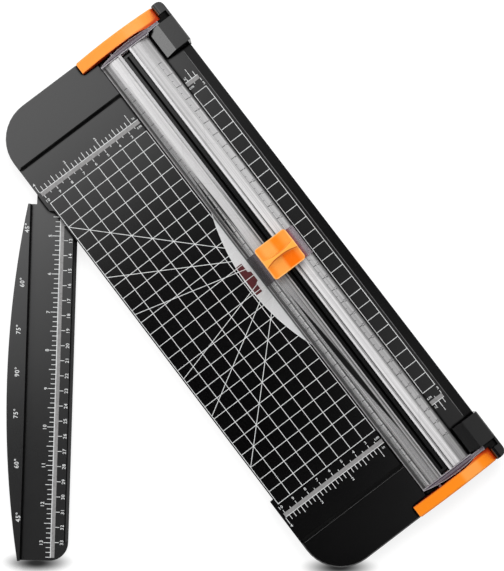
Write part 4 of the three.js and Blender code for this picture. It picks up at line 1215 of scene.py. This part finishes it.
def finish(name):
    """The named finish, made the first time it is asked for"""
    return bpy.data.materials.get(name) or MAKERS[name](name, bpy.context.scene)


# Printed scales


def around(middle, width):
    return middle - width / 2, middle + width / 2


def side_bar(sheet, bar, out, width):
    """One of the broad bars at the grid's ends, with its inch and centimetre marks"""
    outer, inner = (bar[0], bar[1]) if out < 0 else (bar[1], bar[0])
    edge = outer - out * width

    def beside(figure, line, way, row, kind):
        sheet.words(figure, (line + way * kind[0], row), kind[1], *READ_TO_REAR)

    for rows in ((0.0, BAR_FRONT), REAR_GRID):
        sheet.bar(sorted((inner, edge)), rows, 1)
        sheet.bar(sorted((edge, outer)), rows)
    for row, rank in inch_rows():
        sheet.bar(sorted((outer, outer + out * INCH_REACH[rank])), around(row, width))
        if rank == 8:
            number = str(round(abs(row - CUT_B) / INCH))
            beside(number, outer, out, row, INCH_FIGURE)
    for row, rank in centimetre_rows():
        sheet.bar(sorted((inner, inner - out * CENTIMETRE_REACH[rank])), around(row, width))
        if rank == 2:
            number = str(round(abs(row - CUT_B) / GRID_PITCH))
            beside(number, inner, -out, row, CENTIMETRE_FIGURE)
    for row in SIGN_ROWS:
        beside("in", outer, out, row, INCH_SIGN)
        beside("cm", inner, -out, row, CENTIMETRE_SIGN)


def inside_bars(row):
    """Whether the bars carry a mark at a row"""
    return any(low < row < high for low, high in MARKED_ROWS)


def inch_rows():
    """Rows of the inch marks with their rank: 8 at an inch, 4 at a half and 1 at an eighth"""
    for eighths in range(1, 40):
        rank = 8 if eighths % 8 == 0 else 4 if eighths % 4 == 0 else 1
        for row in (CUT_B + eighths * INCH / 8, CUT_B - eighths * INCH / 8):
            if inside_bars(row):
                yield row, rank


def centimetre_rows():
    """Rows of the centimetre marks, 2 at a centimetre and 1 at a half"""
    for halves in range(1, 21):
        for row in (CUT_B + halves * GRID_PITCH / 2, CUT_B - halves * GRID_PITCH / 2):
            if inside_bars(row):
                yield row, 2 if halves % 2 == 0 else 1


def edge_lines(name, place, top, bars, height, ink):
    """Fine plain lines along an edge of the base, in painted shadow and painted highlight"""
    lines = Print(place, level(top))
    for us, vs in bars:
        lines.bar(us, vs)
    lines.made(name, "base", height * MM, finish(ink))


def build_table_print():
    settings = bpy.context.scene.trimmer_print
    width = settings.line_width / MM
    inks = finish("white_ink"), finish("bar_ink")
    columns = [k * GRID_PITCH for k in range(int(GRID_LENGTH / GRID_PITCH) + 1)]
    rows = [k * GRID_PITCH for k in range(int(GRID_FRONT / GRID_PITCH) + 1)]
    grid = Print(table_place, level(DECK_TOP))
    grid.grid(columns, rows, width)
    grid.grid(columns, REAR_GRID, width)
    grid.made("table_grid", "base", settings.ink_height, inks[0])
    rays = Print(table_place, level(DECK_TOP))
    for angle in ANGLES:
        lean = 1 / math.tan(math.radians(angle))
        for side in (-1, 1):
            start = (ANGLE_A - side * CUT_B * lean, 0)
            end = (ANGLE_A + side * (GRID_FRONT - CUT_B) * lean, GRID_FRONT)
            rays.line(start, end, width)
    rays.made("table_angle_lines", "base", settings.ink_height * 1.2, inks[0])
    # Painted highlight: a grey bead along the rear ledge's crest
    ledge = [(LEDGE_SPAN, LEDGE_HIGHLIGHT)]
    # Painted shadow: dark lines at the cheeks' feet and along the left cheek's edge
    lanes = [(lane, CHEEK_SPAN) for lane in CHEEK_SHADOW_LANES]
    brink = [(CHEEK_SHADOW_BRINK, CHEEK_SPAN)]
    # Painted highlight: a grey line along the right cheek's inner edge
    bead = [(CHEEK_HIGHLIGHT, CHEEK_SPAN)]
    edge_lines("rear_ledge_highlight_bead", table_place, DECK_TOP, ledge, LEDGE_HIGHLIGHT_HEIGHT, "bead_grey")
    edge_lines("cheek_foot_shadow_lines", same_place, DECK_TOP, lanes, SHADOW_LINE_HEIGHT, "eye_black")
    edge_lines("left_cheek_shadow_line", same_place, CHEEK_TOP, brink, SHADOW_LINE_HEIGHT, "eye_black")
    edge_lines("right_cheek_highlight_line", same_place, CHEEK_TOP, bead, CHEEK_HIGHLIGHT_HEIGHT, "bead_grey")
    scales = Print(table_place, level(DECK_TOP))
    side_bar(scales, BAR_LEFT, -1, width)
    side_bar(scales, BAR_RIGHT, 1, width)
    scales.made("table_scales", "base", settings.ink_height, *inks)


def build_ruler_print():
    settings = bpy.context.scene.trimmer_print
    width = settings.line_width / MM
    inks = finish("white_ink"), finish("bar_ink")
    sheet = Print(ruler_place, level(RULER_TOP))
    sheet.bar(RULER_SCALE, RULER_BAR, 1)
    sheet.bar(RULER_SCALE, (RULER_BAR_EDGE, RULER_BAR[0]))
    for number in RULER_CENTIMETRES:
        place = number * GRID_PITCH
        sheet.bar(around(place, width), (RULER_BAR[1], RULER_REACH[10]))
        if number > RULER_CENTIMETRES[0]:
            at, height = RULER_CENTIMETRE_FIGURE
            sheet.words(str(number), (place, at), height, *READ_TO_PIVOT)
    for eighths in RULER_EIGHTHS:
        place = eighths * INCH / 8
        reach = RULER_REACH[1 if eighths % 4 else 4]
        sheet.bar(around(place, width), (reach, RULER_BAR_EDGE))
        if eighths % 8 == 0:
            at, height = RULER_INCH_FIGURE
            sheet.words(str(eighths // 8), (place, at), height, *READ_TO_PIVOT)
    sheet.made("ruler_scale", "ruler", settings.ink_height, *inks)
    labels = Print(ruler_place, level(DECK_TOP))
    for label, s, t in RULER_ANGLES:
        labels.words(label, (s, t), RULER_ANGLE_FIGURE, *READ_TO_PIVOT)
    labels.made("ruler_angle_numbers", "ruler", settings.ink_height, inks[0])


def build_rail_print():
    settings = bpy.context.scene.trimmer_print
    ink = finish("dark_ink")
    for side, name in ((1, "rear"), (-1, "front")):
        sheet = Print(lambda x, d, side=side: (x, CUT_Y + side * d), wing_surface)
        start, end = (TABLE_A0 + a for a in RAIL_TICKS)
        base = RAIL_SCALE_LINE[1]
        (long_reach, long_width), (short_reach, short_width) = RAIL_LONG_MARK, RAIL_SHORT_MARK
        sheet.bar((start, end), RAIL_SCALE_LINE)
        last = round((end - start) / GRID_PITCH)
        for number in range(last + 1):
            place = start + number * GRID_PITCH
            sheet.bar(around(place, long_width), (base, long_reach))
            if number:
                sheet.words(str(number), (place, RAIL_FIGURE[0]), RAIL_FIGURE[1], (1, 0), (0, side))
            if number < last:
                sheet.bar(around(place + GRID_PITCH / 2, short_width), (base, short_reach))
        sheet.made(f"rail_scale_{name}", "rail", settings.ink_height, ink)


def build_inlay_mark():
    """A plain dark-red mark on the half-moon, and a white line along the half-moon's curved edge"""
    settings = bpy.context.scene.trimmer_print
    mark = Print(same_place, level(DECK_TOP))
    left, right = MARK_WIDTH
    front, rear = MARK_DEPTH
    mark.shape([(left, front), (right, front), (right, rear), *MARK_CREST, (left, rear)])
    mark.made("inlay_mark", "base", settings.ink_height * 0.6, finish("mark_ink"))
    radius = (MOON_HALF_CHORD**2 + MOON_DEPTH**2) / (2 * MOON_DEPTH)
    centre = MOON_FRONT + radius

    def on_edge(turn, out):
        return math.sin(turn) * out, centre - math.cos(turn) * out

    rim = Print(same_place, level(DECK_TOP))
    half = math.asin(MOON_HALF_CHORD / radius)
    turns = [-half + 2 * half * step / MOON_STEPS for step in range(MOON_STEPS + 1)]
    for first, second in zip(turns, turns[1:]):
        inner = [on_edge(turn, radius - MOON_LINE) for turn in (first, second)]
        outer = [on_edge(turn, radius) for turn in (second, first)]
        rim.shape(inner + outer)
    rim.made("inlay_outline", "base", settings.ink_height * 0.8, finish("white_ink"))


# Studio


def build_studio():
    settings = bpy.context.scene.trimmer_studio
    scene = bpy.context.scene
    scene.view_settings.view_transform = "Standard"
    camera = bpy.data.cameras.new("photo_camera")
    camera.lens = settings.lens
    camera.sensor_width = 36
    camera.clip_start, camera.clip_end = 0.05, 50
    eye = bpy.data.objects.new("photo_camera", camera)
    eye.location = settings.camera_place
    eye.rotation_euler = settings.camera_turn
    scene.collection.objects.link(eye)
    scene.camera = eye
    add_world(settings.fill)
    add_lamp("key_lamp", settings.key, 1.1, KEY_PLACE)
    add_lamp("front_lamp", settings.key * 0.25, 0.9, FRONT_PLACE)
    add_floor()
    add_gloss_card()


def add_world(fill):
    """White to the camera and in reflections, and a softer even light on the object"""
    world = bpy.data.worlds.new("studio_white")
    bpy.context.scene.world = world
    world.use_nodes = True
    world.cycles.sampling_method = "NONE"
    tree = world.node_tree
    tree.nodes.clear()
    path = node(tree, "ShaderNodeLightPath").outputs
    seen = strongest(tree, path["Is Camera Ray"], path["Is Glossy Ray"], path["Is Transmission Ray"])
    strength = spread(tree, seen, 0.0, 1.0, fill, 1.0)
    light = node(tree, "ShaderNodeBackground", {"Color": (1, 1, 1, 1), "Strength": strength})
    node(tree, "ShaderNodeOutputWorld", {"Surface": light.outputs[0]})


def add_lamp(name, power, size, place):
    """A large soft lamp aimed at the trimmer, kept out of the reflections"""
    lamp = bpy.data.lights.new(name, "AREA")
    lamp.shape = "SQUARE"
    lamp.size = size
    lamp.energy = power
    holder = bpy.data.objects.new(name, lamp)
    holder.location = place
    aim = Vector(LAMP_AIM) - Vector(place)
    holder.rotation_euler = aim.to_track_quat("-Z", "Y").to_euler()
    holder.visible_glossy = False
    holder.visible_transmission = False
    bpy.context.scene.collection.objects.link(holder)


def floor_pool(tree, middle):
    """An oval pool of shade on the floor, level in the photograph"""
    shift = {0: own_coordinates(tree), 1: middle}
    offset = node(tree, "ShaderNodeVectorMath", shift, operation="SUBTRACT").outputs[0]
    turn = {"Vector": offset, "Rotation": (0, 0, math.radians(DOWN_TURN))}
    turned = node(tree, "ShaderNodeMapping", turn).outputs[0]
    flat = node(tree, "ShaderNodeMapping", {"Vector": turned, "Scale": SHADOW_SPREAD}).outputs[0]
    away = node(tree, "ShaderNodeVectorMath", {0: flat}, operation="LENGTH").outputs["Value"]
    return spread(tree, away, 1.05, 0.1)


def add_floor():
    """A wide pale floor that reads as white and keeps the shadow"""
    bm = bmesh.new()
    bmesh.ops.create_grid(bm, x_segments=4, y_segments=4, size=4)
    material, tree = bare("studio_floor")
    path = node(tree, "ShaderNodeLightPath").outputs
    paper = noise(tree, own_coordinates(tree), 40.0, 3.0)
    tone = blend_colour(tree, paper, (0.78, 0.78, 0.78), (0.82, 0.82, 0.82))
    matt = node(tree, "ShaderNodeBsdfDiffuse", {"Color": tone}).outputs[0]
    towards_key = node(tree, "ShaderNodeCombineXYZ", dict(enumerate(TOWARDS_KEY))).outputs[0]
    nearby = {"Distance": 0.014, "Normal": towards_key}
    sky = node(tree, "ShaderNodeAmbientOcclusion", nearby, samples=16).outputs["AO"]
    shade = times(tree, spread(tree, sky, 0.95, 0.5), 0.06)
    around_it = node(tree, "ShaderNodeAmbientOcclusion", {"Distance": 0.03}, samples=16).outputs["AO"]
    beside = spread(tree, around_it, 0.985, 0.9, 0.0, 0.97)
    for middle in SHADOW_POOLS:
        shade = strongest(tree, shade, times(tree, floor_pool(tree, middle), beside))
    open_floor = rest_of(tree, shade)
    pale = blend_colour(tree, open_floor, (0.0, 0.0, 0.0), (0.26, 0.26, 0.26))
    grey = node(tree, "ShaderNodeBsdfDiffuse", {"Color": pale}).outputs[0]
    glow = node(tree, "ShaderNodeEmission", {"Strength": times(tree, open_floor, 0.84)}).outputs[0]
    lit = node(tree, "ShaderNodeAddShader", {0: grey, 1: glow}).outputs[0]
    shown = node(tree, "ShaderNodeMixShader", {0: path["Is Camera Ray"], 1: matt, 2: lit}).outputs[0]
    node(tree, "ShaderNodeOutputMaterial", {"Surface": shown})
    floor = object_from(bm, "studio_floor", material)
    floor.location.z = -FLOOR_DROP


def add_gloss_card():
    """A broad card overhead that only the gloss shows: light at the left, dark at the right and the rear"""
    bm = bmesh.new()
    bm.faces.new([bm.verts.new((x, y, 0)) for x, y in CARD_CORNERS])
    material, tree = bare("gloss_card")
    place = own_place(tree)
    x, y = place["X"], place["Y"]
    far_left = spread(tree, x, -0.34, -0.42, 0.0, 0.6)
    left = spread(tree, x, -0.19, -0.4, 0.0, 0.82)
    right = spread(tree, x, 0.12, 0.42, 0.0, 0.16)
    table = total(tree, left, right, far_left)
    dip = unsigned(tree, total(tree, x, 0.1))
    even = total(tree, spread(tree, dip, 0.0, 0.25, 0.22, 0.42), times(tree, far_left, 0.8))
    behind = spread(tree, y, 0.17, 0.23)
    over = total(tree, times(tree, table, rest_of(tree, behind)), times(tree, even, behind))
    rear = times(tree, spread(tree, y, 0.7, 1.2, 1.0, 0.3), spread(tree, y, 2.6, 3.2, 1.0, 0.1))
    near_front = spread(tree, y, -0.7, -1.4, 1.0, 0.28)
    far_front = times(tree, spread(tree, y, -4.0, -4.6, 0.0, 2.2), spread(tree, x, -0.1, -0.35))
    last = spread(tree, down_picture(tree), 0.236, 0.25, 1.0, 0.1)
    corner = strongest(tree, last, spread(tree, y, -0.5, -0.6))
    strength = times(tree, over, rear, total(tree, near_front, far_front), corner)
    glow = node(tree, "ShaderNodeEmission", {"Strength": strength}).outputs[0]
    node(tree, "ShaderNodeOutputMaterial", {"Surface": glow})
    card = object_from(bm, "gloss_card", material)
    card.location.z = CARD_HEIGHT
    card.visible_camera = False
    card.visible_diffuse = False
    card.visible_transmission = False
    card.visible_shadow = False
    card.visible_volume_scatter = False


# Operators


class TRIMMER_OT_studio(bpy.types.Operator):
    """Set up the camera, the lights, the floor and the white background"""

    bl_idname = "trimmer.studio"
    bl_label = "Studio"
    bl_options = {"REGISTER", "UNDO"}

    def execute(self, context):
        build_studio()
        return {"FINISHED"}


class TRIMMER_OT_base(bpy.types.Operator):
    """Finish the base moulding, the cutting strip, the feet and the pins"""

    bl_idname = "trimmer.base"
    bl_label = "Base"
    bl_options = {"REGISTER", "UNDO"}

    def execute(self, context):
        radius = context.scene.trimmer_body.edge_radius
        softened("base_deck", "base_moulding", radius, finish("moulded_black"))
        give_finish("cutting_strip", finish("strip_black"))
        corners = ("front_left", "front_right", "rear_left", "rear_right")
        plain([f"foot_{corner}" for corner in corners], "dusty_rubber")
        plain(("hinge_pin_right", "hinge_pin_left"), "blackened_steel")
        plain(("ruler_pivot_washer", "ruler_pivot_screw"), "turned_steel")
        return {"FINISHED"}


class TRIMMER_OT_table_print(bpy.types.Operator):
    """Print the grid, the angle lines and the two scales on the table"""

    bl_idname = "trimmer.table_print"
    bl_label = "Table print"
    bl_options = {"REGISTER", "UNDO"}

    def execute(self, context):
        build_table_print()
        return {"FINISHED"}


class TRIMMER_OT_inlay(bpy.types.Operator):
    """Finish the half-moon inlay and give it its plain mark"""

    bl_idname = "trimmer.inlay"
    bl_label = "Half-moon inlay"
    bl_options = {"REGISTER", "UNDO"}

    def execute(self, context):
        give_finish("halfmoon_inlay", finish("satin_silver"))
        build_inlay_mark()
        return {"FINISHED"}


class TRIMMER_OT_ruler(bpy.types.Operator):
    """Finish the swing-out ruler and print its scales"""

    bl_idname = "trimmer.ruler"
    bl_label = "Side ruler"
    bl_options = {"REGISTER", "UNDO"}

    def execute(self, context):
        radius = context.scene.trimmer_body.edge_radius
        softened("side_ruler", "ruler_moulding", radius, finish("moulded_grey"))
        build_ruler_print()
        return {"FINISHED"}


class TRIMMER_OT_rail(bpy.types.Operator):
    """Finish the clear rail and its silver strips, and print their scales"""

    bl_idname = "trimmer.rail"
    bl_label = "Rail"
    bl_options = {"REGISTER", "UNDO"}

    def execute(self, context):
        radius = context.scene.trimmer_body.edge_radius
        clear = softened("clear_rail", "clear_moulding", radius * CLEAR_ROUNDING, finish("clear_acrylic"))
        clear.data.materials.append(finish("lit_edge"))
        clear.data.materials.append(finish("eye_black"))
        # Lips and rims take the painted white highlight, and the hinge eyes a near-black finish as painted
        # shade
        cut_across(clear, CUT_Y + HINGE_EYE)
        for face in clear.data.polygons:
            middle = face.center / MM
            off = abs(middle.y - CUT_Y)
            on_lip = middle.z > LIP_FOOT and LIP[0] < off < LIP[1]
            on_rim = off > RIM and middle.z < RIM_TOP and abs(middle.x) < RIM_END
            if on_lip or on_rim:
                face.material_index = 1
            elif off > HINGE_EYE:
                face.material_index = 2
        for side, look in (("rear", "drawn_silver"), ("front", "polished_silver")):
            softened(f"rail_strip_{side}", f"silver_strip_{side}", radius * STRIP_ROUNDING, finish(look))
        build_rail_print()
        return {"FINISHED"}


class TRIMMER_OT_arms(bpy.types.Operator):
    """Finish the two orange lift arms and their screws"""

    bl_idname = "trimmer.arms"
    bl_label = "Lift arms"
    bl_options = {"REGISTER", "UNDO"}

    def execute(self, context):
        radius = context.scene.trimmer_body.edge_radius
        for end in ("right", "left"):
            softened(f"lift_arm_{end}", f"orange_arm_{end}", radius * ARM_ROUNDING, finish("satin_orange"))
            plain([f"arm_screw_{end}_{place}" for place in ("front", "rear")], "turned_steel")
        return {"FINISHED"}


class TRIMMER_OT_carriage(bpy.types.Operator):
    """Finish the smoked saddle, its keeper, screws and springs"""

    bl_idname = "trimmer.carriage"
    bl_label = "Carriage"
    bl_options = {"REGISTER", "UNDO"}

    def execute(self, context):
        radius = context.scene.trimmer_body.edge_radius
        softened("carriage_saddle", "smoked_saddle", radius, finish("smoked_acrylic"))
        give_finish("carriage_keeper", finish("case_black"))
        plain(("keeper_screw_right", "keeper_screw_left"), "turned_steel")
        for side in ("rear", "front"):
            pressed_coil(f"cap_spring_{side}", f"cap_coil_{side}", finish("turned_steel"))
        return {"FINISHED"}


class TRIMMER_OT_cap(bpy.types.Operator):
    """Finish the orange cap, the blade case and the blade"""

    bl_idname = "trimmer.cap"
    bl_label = "Cap and blade"
    bl_options = {"REGISTER", "UNDO"}

    def execute(self, context):
        radius = context.scene.trimmer_body.edge_radius
        softened("slider_cap", "orange_cap", radius, finish("cap_orange"))
        plain(("blade_case_rear", "blade_case_front"), "case_black")
        give_finish("blade_axle", finish("turned_steel"))
        give_finish("blade_hub", finish("matt_rubber"))
        give_finish("rotary_blade", finish("ground_steel"))
        return {"FINISHED"}


class VIEW3D_PT_trimmer(bpy.types.Panel):
    """The trimmer's steps and settings"""

    bl_label = "Paper trimmer"
    bl_space_type = "VIEW_3D"
    bl_region_type = "UI"
    bl_category = "Trimmer"

    def draw(self, context):
        for step in STEPS:
            self.layout.operator(step.bl_idname)
        for label in SETTINGS:
            group = getattr(context.scene, label)
            box = self.layout.box()
            box.label(text=group.bl_rna.description)
            for key in group.__annotations__:
                box.prop(group, key)


STEPS = (
    TRIMMER_OT_studio,
    TRIMMER_OT_base,
    TRIMMER_OT_table_print,
    TRIMMER_OT_inlay,
    TRIMMER_OT_ruler,
    TRIMMER_OT_rail,
    TRIMMER_OT_arms,
    TRIMMER_OT_carriage,
    TRIMMER_OT_cap,
)
SETTINGS = {
    "trimmer_print": TrimmerPrintSettings,
    "trimmer_body": TrimmerBodySettings,
    "trimmer_carriage": TrimmerCarriageSettings,
    "trimmer_studio": TrimmerStudioSettings,
}


def register():
    for kind in (*SETTINGS.values(), *STEPS, VIEW3D_PT_trimmer):
        bpy.utils.register_class(kind)
    for label, kind in SETTINGS.items():
        setattr(bpy.types.Scene, label, PointerProperty(type=kind))


def unregister():
    for label in SETTINGS:
        delattr(bpy.types.Scene, label)
    for kind in reversed((*SETTINGS.values(), *STEPS, VIEW3D_PT_trimmer)):
        bpy.utils.unregister_class(kind)


def main():
    register()
    bpy.ops.trimmer.studio()
    bpy.ops.trimmer.base()
    bpy.ops.trimmer.table_print()
    bpy.ops.trimmer.inlay()
    bpy.ops.trimmer.ruler()
    bpy.ops.trimmer.rail()
    bpy.ops.trimmer.arms()
    bpy.ops.trimmer.carriage()
    bpy.ops.trimmer.cap()


if __name__ == "__main__":
    main()
